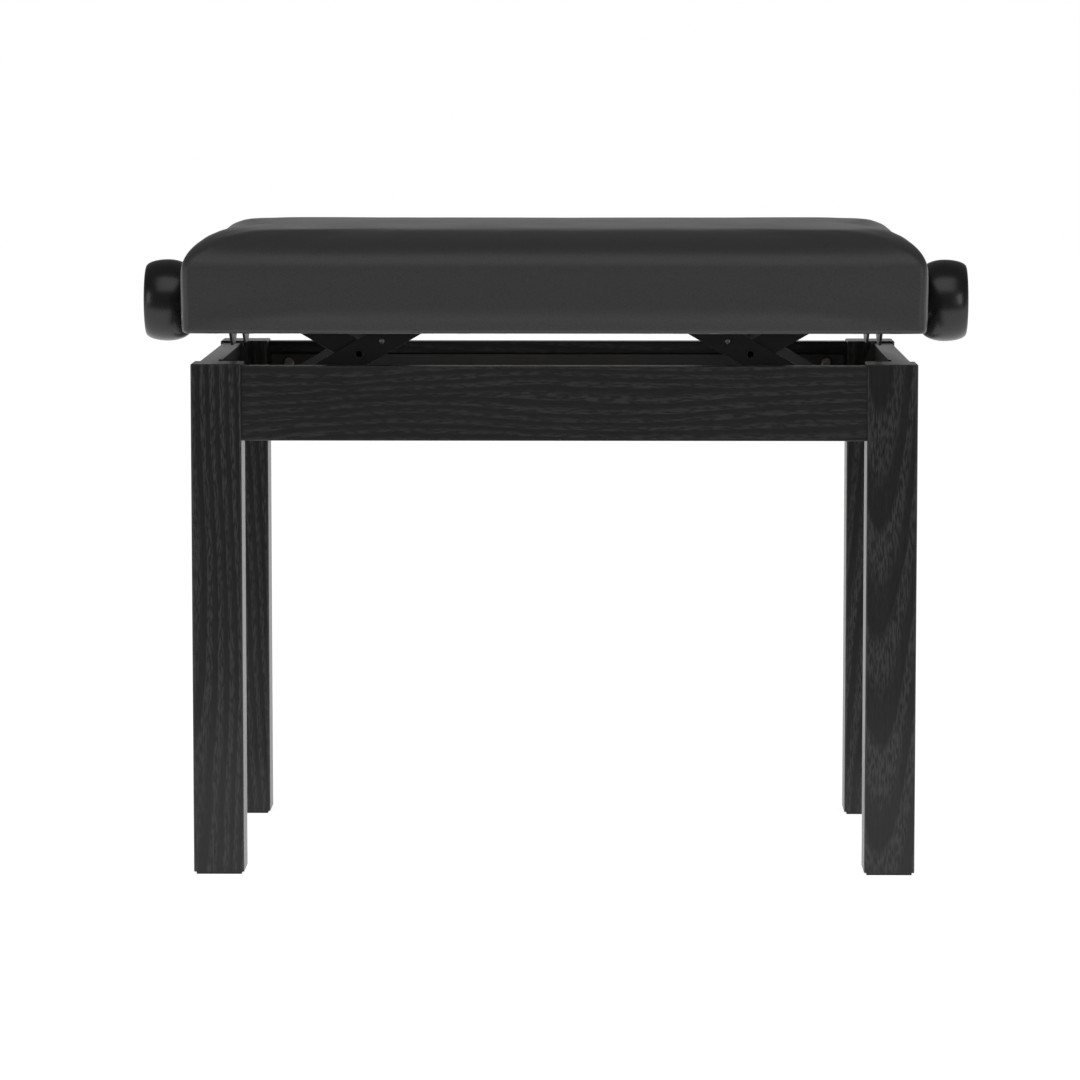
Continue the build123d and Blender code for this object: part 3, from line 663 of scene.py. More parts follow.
@dataclass
class SteelLift:
    """The bars, rails, arms, links, brackets and nuts, copied with their sharp edges broken."""

    workshop: Workshop
    sheet_ease: float = 0.35 * MM
    turned_ease: float = 0.5 * MM
    flat_within: float = 0.2
    sharp_above: float = 38.0
    sheet_nodes: tuple[str, ...] = (
        "lower_front_bar", "lower_rear_bar", "lower_left_end_bar", "lower_right_end_bar",
        "left_arm_front_plate", "left_arm_rear_plate", "right_arm_front_plate", "right_arm_rear_plate",
        "left_link_front_plate", "left_link_rear_plate", "right_link_front_plate", "right_link_rear_plate",
        "upper_front_rail", "upper_rear_rail", "left_spindle_bracket", "right_spindle_bracket",
    )
    turned_nodes: tuple[str, ...] = (
        "left_nut_pins", "right_nut_pins", "left_nut_clips", "right_nut_clips", "upper_pivot_pins",
        "lower_pivot_rods", "left_centre_rod", "right_centre_rod", "spindle_collars", "knob_washers",
        "spindle_bushes", "leg_studs", "leg_stud_nuts", "lower_spacers", "upper_spacers",
        "left_arm_tube", "right_arm_tube", "left_link_tube", "right_link_tube", "left_nut", "right_nut",
    )

    def build(self) -> None:
        """Make every eased copy."""
        for node in self.sheet_nodes:
            self.ease(node, self.sheet_ease)
        for node in self.turned_nodes:
            self.ease(node, self.turned_ease)

    def ease(self, node: str, width: float) -> None:
        """Copy a node with a small round on every sharp edge, and let the copy stand for it.

        Args:
            node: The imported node.
            width: The round's width.
        """
        source = frame["nodes"][node]
        piece = bpy.data.objects.new(f"{node}_eased", source.data.copy())
        bpy.context.scene.collection.objects.link(piece)
        take_up(piece)
        bpy.ops.object.mode_set(mode="EDIT")
        bpy.ops.mesh.select_all(action="SELECT")
        bpy.ops.mesh.remove_doubles(threshold=1e-6)
        bpy.ops.mesh.dissolve_limited(angle_limit=math.radians(self.flat_within))
        bpy.ops.object.mode_set(mode="OBJECT")
        bevel = piece.modifiers.new("ease", "BEVEL")
        bevel.width = width
        bevel.segments = 2
        bevel.limit_method = "ANGLE"
        bevel.angle_limit = math.radians(self.sharp_above)
        bevel.use_clamp_overlap = True
        bevel.harden_normals = True
        apply_modifiers(piece)
        slot = self.slot_of(node)
        dress(piece, self.workshop.by_slot(slot), source["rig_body"])
        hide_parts(node)

    @staticmethod
    def slot_of(node: str) -> str:
        """The material slot that the record gives a node."""
        return next(p["material_slot"] for p in frame["record"]["subparts"] if p["node"] == node)


@dataclass
class DrivenScrews:
    """The pan-head screws of the frame and the seat, with a cross recess to drive them."""

    workshop: Workshop
    head_radius: float = 4.5 * MM
    head_height: float = 2.5 * MM
    shank_radius: float = 2.2 * MM
    recess_length: float = 4.6 * MM
    recess_width: float = 1.1 * MM
    recess_depth: float = 1.5 * MM
    dome: float = 1.5 * MM
    tip: float = 0.5 * MM
    sets: dict[str, str] = field(default_factory=lambda: {"frame_screws": "base", "seat_screws": "seat"})

    def build(self) -> None:
        """Make both sets of screws."""
        for node, body in self.sets.items():
            screws = [self.screw(*self.seat_of(points)) for points in solids_of(node)]
            piece = join_pieces(screws, f"{node}_driven")
            smooth_by_angle(piece, 32)
            dress(piece, self.workshop.zinc, body)
            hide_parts(node)

    def seat_of(self, points: np.ndarray) -> tuple[Vector, Vector, float]:
        """Where a screw sits.

        Args:
            points: The points of the plain screw.

        Returns:
            The middle of the head's bearing face, the way the head points, and the length of the shank.
        """
        low, high = points.min(0), points.max(0)
        spans, centre = high - low, (low + high) / 2
        misfits = np.abs(spans - 2 * self.head_radius)
        axis = int(np.argmin(misfits.sum() - misfits))
        radii = np.hypot(*np.delete(points - centre, axis, axis=1).T)
        wide = points[radii > self.head_radius * 0.9][:, axis]
        outwards = 1.0 if wide.mean() > centre[axis] else -1.0
        bearing = wide.min() if outwards > 0 else wide.max()
        centre[axis] = bearing
        direction = Vector((0, 0, 0))
        direction[axis] = outwards
        return Vector(centre), direction, float(spans[axis] - (wide.max() - wide.min()))

    def screw(self, bearing: Vector, outwards: Vector, shank: float) -> bpy.types.Object:
        """One screw with a domed, cross-recessed head.

        Args:
            bearing: The middle of the face under the head.
            outwards: The way the head points.
            shank: The length below the head.

        Returns:
            The screw, in place.
        """
        deselect_everything()
        bpy.ops.mesh.primitive_cylinder_add(vertices=28, radius=self.head_radius, depth=self.head_height,
                                            location=(0, 0, self.head_height / 2))
        head = bpy.context.object
        settle_place(head)
        select_parts(head, Part.FACES, lambda face: face.normal.z > 0.9)
        bpy.ops.object.mode_set(mode="EDIT")
        bpy.ops.mesh.bevel(offset=self.dome, segments=4, profile=0.55)
        bpy.ops.object.mode_set(mode="OBJECT")
        select_parts(head, Part.FACES, lambda face: face.normal.z < -0.9)
        bpy.ops.object.mode_set(mode="EDIT")
        bpy.ops.mesh.inset(thickness=self.head_radius - self.shank_radius)
        bpy.ops.mesh.extrude_region_move(TRANSFORM_OT_translate={"value": (0, 0, -shank)})
        bpy.ops.mesh.bevel(offset=self.tip, segments=1)
        bpy.ops.object.mode_set(mode="OBJECT")
        arms = []
        for span in ((self.recess_length, self.recess_width), (self.recess_width, self.recess_length)):
            deselect_everything()
            bpy.ops.mesh.primitive_cube_add(size=1, location=(0, 0, self.head_height))
            arm = bpy.context.object
            arm.scale = (*span, 2 * self.recess_depth)
            settle_place(arm)
            arms.append(arm)
        for arm in arms:
            cut = head.modifiers.new("recess", "BOOLEAN")
            cut.operation = "DIFFERENCE"
            cut.solver = "EXACT"
            cut.object = arm
            apply_modifiers(head)
            bpy.data.objects.remove(arm)
        head.data.transform(outwards.to_track_quat("Z", "Y").to_matrix().to_4x4())
        head.data.transform(Matrix.Translation(bearing))
        return head


@dataclass
class ArmRivets:
    """The bright domed rivets in the arms, one in each plate beyond the middle pivot."""

    workshop: Workshop
    past_middle: float = 20.0 * MM
    radius: float = 2.25 * MM
    dome: float = 1.2 * MM

    def build(self) -> None:
        """Make the rivets of both arms."""
        joints = {joint["name"]: Vector(joint["pos_m"]) for joint in frame["joints"]}
        for side in ("left", "right"):
            foot, middle = joints[f"{side}_arm_hinge"], joints[f"{side}_link_hinge"]
            place = middle + (middle - foot).normalized() * self.past_middle
            rivets = []
            for plate, outwards in ((f"{side}_arm_front_plate", -1.0), (f"{side}_arm_rear_plate", 1.0)):
                low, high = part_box(plate)
                rivets.append(self.rivet(Vector((place.x, (low.y + high.y) / 2, place.z)), high.y - low.y, outwards))
            piece = join_pieces(rivets, f"{side}_arm_rivets")
            smooth_by_angle(piece, 50)
            dress(piece, self.workshop.zinc, f"{side}_arm")

    def rivet(self, middle: Vector, thickness: float, outwards: float) -> bpy.types.Object:
        """One rivet with a domed outer end.

        Args:
            middle: The middle of the plate's thickness at the hole.
            thickness: The plate's thickness.
            outwards: -1 where the dome faces the front, 1 where it faces the rear.

        Returns:
            The rivet, in place.
        """
        length = thickness + self.dome
        deselect_everything()
        bpy.ops.mesh.primitive_cylinder_add(vertices=24, radius=self.radius, depth=length,
                                            location=(0, 0, (length - thickness) / 2))
        piece = bpy.context.object
        settle_place(piece)
        select_parts(piece, Part.FACES, lambda face: face.normal.z > 0.9)
        bpy.ops.object.mode_set(mode="EDIT")
        bpy.ops.mesh.bevel(offset=self.dome, segments=5, profile=0.5)
        bpy.ops.object.mode_set(mode="OBJECT")
        piece.data.transform(Vector((0, outwards, 0)).to_track_quat("Z", "Y").to_matrix().to_4x4())
        piece.data.transform(Matrix.Translation(middle))
        return piece


@dataclass
class ThreadedSpindle:
    """The spindle, with a left-hand thread at one end and a right-hand thread at the other."""

    workshop: Workshop
    crest: float = 6.0 * MM
    root: float = 4.9 * MM
    lead: float = 6.0 * MM
    starts: int = 2
    thread_from: float = 30 * MM
    thread_to: float = 226 * MM
    runout: float = 4 * MM
    plain_middle: float = 10 * MM
    plain_end: float = 270 * MM
    crest_share: float = 0.16
    flank_share: float = 0.12
    step: float = 0.5 * MM
    around: int = 28
    chamfer: float = 1.0 * MM

    def build(self) -> None:
        """Roll a fine grid into the threaded bar."""
        low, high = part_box("spindle")
        middle = (low + high) / 2
        stations = self.stations(high.x)
        deselect_everything()
        bpy.ops.mesh.primitive_grid_add(x_subdivisions=len(stations) - 1, y_subdivisions=self.around, size=1)
        piece = bpy.context.object
        piece.name = piece.data.name = "spindle_threaded"
        points = np.empty(len(piece.data.vertices) * 3)
        piece.data.vertices.foreach_get("co", points)
        points = points.reshape(-1, 3)
        column = np.rint((points[:, 0] + 0.5) * (len(stations) - 1)).astype(int)
        angle = (points[:, 1] + 0.5) * 2 * math.pi
        x = stations[column]
        radius = self.radius(x, angle, high.x)
        rolled = np.stack([x + middle.x, middle.y + radius * np.cos(angle), middle.z + radius * np.sin(angle)], axis=1)
        piece.data.vertices.foreach_set("co", rolled.ravel())
        take_up(piece)
        bpy.ops.object.mode_set(mode="EDIT")
        bpy.ops.mesh.select_all(action="SELECT")
        bpy.ops.mesh.remove_doubles(threshold=2e-5)
        bpy.ops.mesh.select_mode(type="EDGE")
        bpy.ops.mesh.select_all(action="DESELECT")
        bpy.ops.mesh.select_non_manifold()
        bpy.ops.mesh.edge_face_add()
        bpy.ops.object.mode_set(mode="OBJECT")
        outward_faces(piece)
        smooth_by_angle(piece, 40)
        dress(piece, self.workshop.turned, "spindle_and_knobs")
        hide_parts("spindle")

    def stations(self, end: float) -> np.ndarray:
        """The places along the bar where its section is set, close together under the threads.

        Args:
            end: Half the bar's length.

        Returns:
            Distances from the middle, in order.
        """
        threads = np.arange(self.thread_from, self.thread_to + self.step / 2, self.step)
        half = np.concatenate([[self.plain_middle, self.thread_from - self.runout], threads,
                               [self.thread_to + 2 * self.runout, self.plain_end, end - self.chamfer, end]])
        return np.concatenate([-half[::-1], half])

    def radius(self, x: np.ndarray, angle: np.ndarray, end: float) -> np.ndarray:
        """The bar's radius at a distance along it and an angle round it.

        Args:
            x: Distances from the middle.
            angle: Angles in radians.
            end: Half the bar's length.

        Returns:
            The radii.
        """
        hand = np.sign(x)
        turn = np.mod(x * self.starts / self.lead - hand * self.starts * angle / (2 * math.pi), 1.0)
        flank = np.clip((np.abs(turn - 0.5) - self.crest_share) / self.flank_share, 0, 1)
        within = np.clip((np.abs(x) - self.thread_from) / self.runout, 0, 1) * np.clip(
            (self.thread_to - np.abs(x)) / self.runout, 0, 1)
        radius = self.crest - (self.crest - self.root) * flank * within
        return np.where(np.abs(x) > end - self.chamfer / 2, self.crest - self.chamfer, radius)


# The knobs ----------------------------------------------------------------------------------------


@dataclass
class TurnedKnobs:
    """The two satin knobs, spun from one outline, with a set screw in the neck."""

    workshop: Workshop
    around: int = 128
    neck_radius: float = 22.0 * MM
    belly_radius: float = 31.8 * MM
    face_radius: float = 26.0 * MM
    belly: float = 19.5 * MM
    neck_edge: float = 1.2 * MM
    dome: float = 1.0 * MM
    bore_radius: float = 6.05 * MM
    bore_depth: float = 29.0 * MM
    bore_chamfer: float = 0.5 * MM
    arc_steps: int = 22
    face_steps: int = 9

    def outline(self, length: float) -> list[tuple[float, float]]:
        """The knob's section from the bottom of its bore to the middle of its face.

        Args:
            length: The knob's length.

        Returns:
            Points as (distance from the neck end, radius).
        """
        points = [(self.bore_depth, 0.0), (self.bore_depth, self.bore_radius), (self.bore_chamfer, self.bore_radius),
                  (0.0, self.bore_radius + self.bore_chamfer), (0.0, self.neck_radius - self.neck_edge)]
        points += [(self.neck_edge * (1 - math.cos(a)), self.neck_radius - self.neck_edge * (1 - math.sin(a)))
                   for a in np.linspace(0.3, math.pi / 2, 4)]
        rise = self.belly_radius - self.neck_radius
        for a in np.linspace(0.0, math.pi / 2, self.arc_steps)[1:]:
            points.append((self.neck_edge + (self.belly - self.neck_edge) * (1 - math.cos(a)),
                           self.neck_radius + rise * math.sin(a)))
        fall, run = self.belly_radius - self.face_radius, length - self.dome - self.belly
        for a in np.linspace(0.0, math.pi / 2, self.arc_steps)[1:]:
            points.append((self.belly + run * math.sin(a), self.belly_radius - fall * (1 - math.cos(a))))
        for share in np.linspace(1.0, 0.0, self.face_steps)[1:]:
            points.append((length - self.dome * share ** 2, self.face_radius * share))
        return points

    def build(self) -> None:
        """Spin both knobs."""
        for node, side in (("left_knob", -1.0), ("right_knob", 1.0)):
            low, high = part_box(node)
            length = high.x - low.x
            neck = high.x if side < 0 else low.x
            axis_z = (low.z + high.z) / 2
            outline = self.outline(length)
            last = len(outline) - 1
            deselect_everything()
            bpy.ops.mesh.primitive_circle_add(vertices=len(outline), radius=10 * MM)
            piece = bpy.context.object
            piece.name = piece.data.name = f"{node}_turned"
            for vertex, (along, radius) in zip(piece.data.vertices, outline):
                vertex.co = (neck + side * along, 0, axis_z + radius)
            select_parts(piece, Part.EDGES, lambda edge: set(edge.vertices) == {0, last})
            bpy.ops.object.mode_set(mode="EDIT")
            bpy.ops.mesh.delete(type="EDGE_FACE")
            bpy.ops.mesh.select_all(action="SELECT")
            bpy.ops.mesh.spin(steps=self.around, angle=2 * math.pi, center=(neck, 0, axis_z), axis=(1, 0, 0))
            bpy.ops.object.mode_set(mode="OBJECT")
            outward_faces(piece)
            smooth_by_angle(piece, 35)
            dress(piece, self.workshop.knob, "spindle_and_knobs")
            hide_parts(node)


# The seat -----------------------------------------------------------------------------------------


@dataclass(frozen=True)
class Ring:
    """One level line of the cover: half its length and width, the radius of its corners, and its height."""

    half_length: float
    half_width: float
    corner: float
    height: float


@dataclass
class SeatUpholstery:
    """The padded cover: a flat top with long round shoulders, full sides, folded corners and a hem turned under."""

    workshop: Workshop
    bulge_half_length: float = 279.6 * MM
    bulge_half_width: float = 169.4 * MM
    bulge_height: float = 47.0 * MM
    shoulder_length: float = 35.0 * MM
    shoulder_width: float = 42.0 * MM
    tuck: float = 2.4 * MM
    crown: float = 1.2 * MM
    corner: float = 6.5 * MM
    top_corner: float = 48.0 * MM
    bottom_round: float = 3.0 * MM
    cover: float = 1.5 * MM
    hem: float = 20.0 * MM
    lining_gap: float = 0.2 * MM
    fold_height: float = 0.9 * MM
    fold_width: float = 7.0 * MM
    fold_from_corner: float = 2.0 * MM
    fold_dip: float = 0.3
    dip_width: float = 1.2 * MM
    fold_fade: float = 14.0 * MM
    spacing: float = 5.0 * MM
    shrink: float = 1.2 * MM
    voxel: float = 5.0 * MM
    pressure: float = 4.0
    held_height: float = 6.0 * MM
    still_height: float = 2.0 * MM
    swell_fade: float = 14.0 * MM
    swell_limit: float = 2.0 * MM
    neighbours: int = 8
    frames: int = 20
    bottom: float = field(init=False)
    top: float = field(init=False)
    full: Vector = field(init=False)
    board: Vector = field(init=False)

    def __post_init__(self) -> None:
        """Read the places of the cover and the board from the frame."""
        low, self.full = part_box("seat_cover")
        self.bottom, self.top = low.z, self.full.z
        self.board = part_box("seat_board")[1]

    def build(self) -> None:
        """Make the cover, swell it, fold its corners and put it on the seat."""
        outer = self.outside()
        piece = self.skin("seat_upholstery", self.lining() + outer)
        self.swell(piece, outer)
        self.fold_corners(piece)
        outward_faces(piece)
        smooth_by_angle(piece, 50)
        dress(piece, self.workshop.leatherette, "seat")
        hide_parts("seat_cover", "seat_foam", "side_padding")

    def lining(self) -> list[Ring]:
        """The level lines inside, from the board's top down the aprons and out to the hem's raw edge.

        Returns:
            The lines, in order.
        """
        half_length, half_width = self.board.x + self.lining_gap, self.board.y + self.lining_gap
        turn = self.bottom + self.cover - 0.1 * MM
        rings = [Ring(half_length, half_width, 1.0 * MM, height)
                 for height in (self.board.z + self.lining_gap, (self.board.z + turn) / 2, turn)]
        return rings + [Ring(self.full.x - self.hem, self.full.y - self.hem, 2.0 * MM, turn)]

    def outside(self) -> list[Ring]:
        """The level lines outside, from the hem's raw edge out, up the sides and over to the middle of the top.

        Returns:
            The lines, in order.
        """
        length, width = self.bulge_half_length - self.tuck, self.bulge_half_width - self.tuck
        rings = [Ring(self.full.x - self.hem + out, self.full.y - self.hem + out, 2.0 * MM + 0.55 * out, self.bottom)
                 for out in (0.0, 5.0 * MM, 10.0 * MM, 13.0 * MM)]
        for a in np.linspace(0.0, math.pi / 2, 5):
            back = self.bottom_round * (1 - math.sin(a))
            rings.append(Ring(length - back, width - back, self.corner - 1.0 * MM - back,
                              self.bottom + self.bottom_round * (1 - math.cos(a))))
        start, widest = self.bottom + self.bottom_round, self.bottom + self.bulge_height
        for share in np.linspace(0.0, 1.0, 12)[1:]:
            back = self.tuck * (1 - math.sin(share * math.pi / 2))
            rings.append(Ring(self.bulge_half_length - back, self.bulge_half_width - back, self.corner,
                              start + share * (widest - start)))
        rise = self.top - self.crown - widest
        for a in np.linspace(0.0, math.pi / 2, 19)[1:]:
            share = 1 - math.cos(a)
            rings.append(Ring(self.bulge_half_length - share * self.shoulder_length,
                              self.bulge_half_width - share * self.shoulder_width,
                              self.corner + share * (self.top_corner - self.corner),
                              widest + rise * math.sin(a)))
        flat_length = self.bulge_half_length - self.shoulder_length
        flat_width = self.bulge_half_width - self.shoulder_width
        ridge = flat_length - flat_width
        for share in np.linspace(1.0, 0.0, 27)[1:]:
            rings.append(Ring(ridge + flat_width * share, flat_width * share, self.top_corner * share,
                              self.top - self.crown * share ** 2))
        return rings

    def stations(self) -> list[tuple[int, str, float]]:
        """The places round a level line, close together beside the folds.

        Returns:
            The places in order, as (quarter, stretch, share of the stretch).
        """
        edge = self.fold_from_corner
        long_straight = 2 * (self.bulge_half_length - self.corner)
        short_straight = 2 * (self.bulge_half_width - self.corner)
        close = [0.0, 0.6 * edge, 0.85 * edge, 0.97 * edge, 1.03 * edge, 1.25 * edge, 1.6 * edge, 2.2 * edge,
                 3.0 * edge, 4.2 * edge, 6.0 * edge, 8.5 * edge]
        middle = list(np.arange(close[-1] + self.spacing, short_straight / 2, self.spacing))
        side = [d / short_straight for d in close + middle]
        side += [1 - share for share in reversed(side)]
        count = int(long_straight / self.spacing)
        front = list(np.linspace(0, 1, count + 1))
        arc = list(np.linspace(0, 1, 11))[1:-1]
        places: list[tuple[int, str, float]] = []
        for quarter in range(4):
            straight = front if quarter in (0, 2) else side
            places += [(quarter, "straight", share) for share in straight]
            places += [(quarter, "arc", share) for share in arc]
        return places

    def point(self, ring: Ring, quarter: int, stretch: str, share: float) -> tuple[float, float]:
        """A point of a level line.

        Args:
            ring: The level line.
            quarter: 0 is the front and its right-hand corner, and so on, anticlockwise from above.
            stretch: "straight" for the side itself, "arc" for the corner after it.
            share: How far along the stretch, from 0 to 1.

        Returns:
            The point's x and y.
        """
        a, b, r = ring.half_length, ring.half_width, ring.corner
        if quarter in (1, 3):
            a, b = b, a
        if stretch == "straight":
            x, y = (2 * share - 1) * (a - r), -b
        else:
            turn = share * math.pi / 2
            x, y = a - r + r * math.sin(turn), -b + r - r * math.cos(turn)
        for _ in range(quarter):
            x, y = -y, x
        return x, y

    def skin(self, name: str, rings: list[Ring]) -> bpy.types.Object:
        """Skin the level lines into one closed form.

        Args:
            name: The piece's name.
            rings: The level lines in order; the first is closed flat, and the last has no width.

        Returns:
            The new object.
        """
        places = self.stations()
        count = len(places)
        points = [(*self.point(ring, *place), ring.height) for ring in rings for place in places]
        faces = []
        for row in range(len(rings) - 1):
            for k in range(count):
                after = (k + 1) % count
                faces.append((row * count + k, row * count + after, (row + 1) * count + after, (row + 1) * count + k))
        faces.append(tuple(range(count))[::-1])
        mesh = bpy.data.meshes.new(name)
        mesh.from_pydata(points, [], faces)
        piece = bpy.data.objects.new(name, mesh)
        bpy.context.scene.collection.objects.link(piece)
        outward_faces(piece)
        return piece

    def swell(self, piece: bpy.types.Object, outer: list[Ring]) -> None:
        """Fill the cover with pressure as cloth, and carry the swelling over to it.

        Args:
            piece: The cover.
            outer: Its outside level lines.
        """
        form = self.skin("seat_form", [Ring(ring.half_length - self.shrink, ring.half_width - self.shrink,
                                            ring.corner, ring.height) for ring in outer[4:-1]] + [outer[-1]])
        remesh = form.modifiers.new("even", "REMESH")
        remesh.mode = "VOXEL"
        remesh.voxel_size = self.voxel
        apply_modifiers(form)
        start = np.empty(len(form.data.vertices) * 3)
        form.data.vertices.foreach_get("co", start)
        start = start.reshape(-1, 3)
        held = form.vertex_groups.new(name="held")
        held.add([int(i) for i in np.nonzero(start[:, 2] < self.bottom + self.held_height)[0]], 1.0, "REPLACE")
        cloth = form.modifiers.new("pressure", "CLOTH")
        cloth.settings.use_pressure = True
        cloth.settings.uniform_pressure_force = self.pressure
        cloth.settings.quality = 6
        cloth.settings.tension_stiffness = 25
        cloth.settings.compression_stiffness = 25
        cloth.settings.shear_stiffness = 10
        cloth.settings.bending_stiffness = 2.0
        cloth.settings.vertex_group_mass = "held"
        cloth.settings.effector_weights.gravity = 0
        cloth.point_cache.frame_start, cloth.point_cache.frame_end = 1, self.frames
        scene = bpy.context.scene
        for step in range(1, self.frames + 1):
            scene.frame_set(step)
        evaluated = form.evaluated_get(bpy.context.evaluated_depsgraph_get())
        after = np.empty(len(start) * 3)
        evaluated.data.vertices.foreach_get("co", after)
        move = after.reshape(-1, 3) - start
        apply_modifiers(form)
        scene.frame_set(1)
        size = np.linalg.norm(move, axis=1)
        move *= (self.swell_limit / np.sqrt(size ** 2 + self.swell_limit ** 2))[:, None]
        LOG.info("seat_form: swelled by up to %.1f mm, kept to %.1f mm", size.max() / MM, self.swell_limit / MM)
        tree = KDTree(len(start))
        for index, place in enumerate(start):
            tree.insert(place, index)
        tree.balance()
        for vertex in piece.data.vertices:
            above = vertex.co.z - self.bottom - self.still_height
            if above < 0 or not self.is_outside(vertex.co):
                continue
            total, moved = 0.0, Vector((0, 0, 0))
            for _, index, distance in tree.find_n(vertex.co, self.neighbours):
                weight = 1 / (distance + 0.5 * self.voxel) ** 2
                total += weight
                moved += weight * Vector(move[index])
            vertex.co += min(1.0, above / self.swell_fade) * moved / total
        bpy.data.objects.remove(form)

    def is_outside(self, place: Vector) -> bool:
        """Whether a point belongs to the cover's outside, clear of its lining."""
        inside = abs(place.x) < self.board.x + 2 * self.lining_gap and abs(place.y) < self.board.y + 2 * self.lining_gap
        return not (inside and place.z < self.board.z + 2 * self.lining_gap)

    def fold_corners(self, piece: bpy.types.Object) -> None:
        """Lay a folded pleat down the end face beside each corner.

        Args:
            piece: The cover.
        """
        seam = self.bulge_half_width - self.corner - self.fold_from_corner
        fold_top = self.bottom + self.bulge_height + 8 * MM
        for vertex in piece.data.vertices:
            place = vertex.co
            if not self.is_outside(place) or abs(place.x) < self.bulge_half_length - 12 * MM:
                continue
            if not self.bottom + 0.2 * MM <= place.z <= fold_top:
                continue
            past = seam - abs(place.y)
            if past >= 0:
                lift = self.fold_height * math.exp(-past / self.fold_width)
            else:
                lift = -self.fold_dip * self.fold_height * math.exp(past / self.dip_width)
            vertex.co.x += math.copysign(lift * min(1.0, (fold_top - place.z) / self.fold_fade), place.x)


@dataclass
class HemStaples:
    """The row of staples that holds the hem to the aprons, under the seat."""

    workshop: Workshop
    inset: float = 12.0 * MM
    pitch: float = 26.0 * MM
    crown: float = 10.0 * MM
    wire: float = 0.9 * MM
    proud: float = 0.35 * MM
    edge: float = 0.25 * MM
    jog: float = 1.2 * MM
    skew: float = 0.10

    def build(self) -> None:
        """Make one staple and copy it round the hem."""
        low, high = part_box("seat_cover")
        first = self.staple()
        copies = []
        for x, y, turn in self.places(high.x - self.inset, high.y - self.inset):
            copy = first.copy()
            copy.data = first.data.copy()
            bpy.context.scene.collection.objects.link(copy)
            copy.data.transform(Matrix.Translation((x, y, low.z)) @ Matrix.Rotation(turn, 4, "Z"))
            copies.append(copy)
        bpy.data.objects.remove(first)
        piece = join_pieces(copies, "hem_staples")
        smooth_by_angle(piece, 50)
        dress(piece, self.workshop.zinc, "seat")

    def staple(self) -> bpy.types.Object:
        """One staple, whose crown lies flat under the hem at the origin.

        Returns:
            The staple.
        """
        deselect_everything()
        bpy.ops.mesh.primitive_cube_add(size=1, location=(0, 0, 0))
        piece = bpy.context.object
        piece.scale = (self.crown, self.wire, self.wire)
        settle_place(piece)
        bpy.ops.object.mode_set(mode="EDIT")
        bpy.ops.mesh.select_all(action="SELECT")
        bpy.ops.mesh.bevel(offset=self.edge, segments=2)
        bpy.ops.object.mode_set(mode="OBJECT")
        piece.data.transform(Matrix.Translation((0, 0, self.wire / 2 - self.proud)))
        return piece

    def places(self, x: float, y: float) -> list[Triple]:
        """Where the staples go.

        Args:
            x: Half the length of their line.
            y: Half its width.

        Returns:
            Each staple's x, y and turn in radians, slightly uneven as driven by hand.
        """
        found = []
        for half, other, along_x in ((x, y, True), (y, x, False)):
            count = int(2 * (half - self.inset) / self.pitch)
            for side in (-1, 1):
                for k in range(count + 1):
                    along = -half + self.inset + k * 2 * (half - self.inset) / count
                    jog = self.jog * math.sin(7.3 * k + 2.1 * side + 3.0 * along_x)
                    skew = self.skew * math.sin(4.7 * k + 1.3 * side)
                    if along_x:
                        found.append((along, side * (other + jog), skew))
                    else:
                        found.append((side * (other + jog), along, math.pi / 2 + skew))
        return found


@dataclass
class SeatBox:
    """The board and aprons under the cover, which keep their shape and get their plywood."""

    workshop: Workshop

    def finish(self) -> None:
        """Put the plywood on, with its layers the right way round."""
        repaint("seat_board", self.workshop.board_ply)
        repaint("seat_long_aprons", self.workshop.long_apron_ply)
        repaint("seat_short_aprons", self.workshop.short_apron_ply)
        repaint("knob_set_screws", self.workshop.zinc)


# The studio ---------------------------------------------------------------------------------------


@dataclass(frozen=True)
class Softbox:
    """One soft rectangular light."""

    name: str
    place: Triple
    aim: Triple
    width: float
    height: float
    power: float

    def hang(self) -> None:
        """Hang the light and point it."""
        light = bpy.data.lights.new(self.name, "AREA")
        light.shape, light.size, light.size_y, light.energy = "RECTANGLE", self.width, self.height, self.power
        lamp = bpy.data.objects.new(self.name, light)
        lamp.location = self.place
        lamp.rotation_euler = (Vector(self.aim) - Vector(self.place)).to_track_quat("-Z", "Y").to_euler()
        bpy.context.scene.collection.objects.link(lamp)


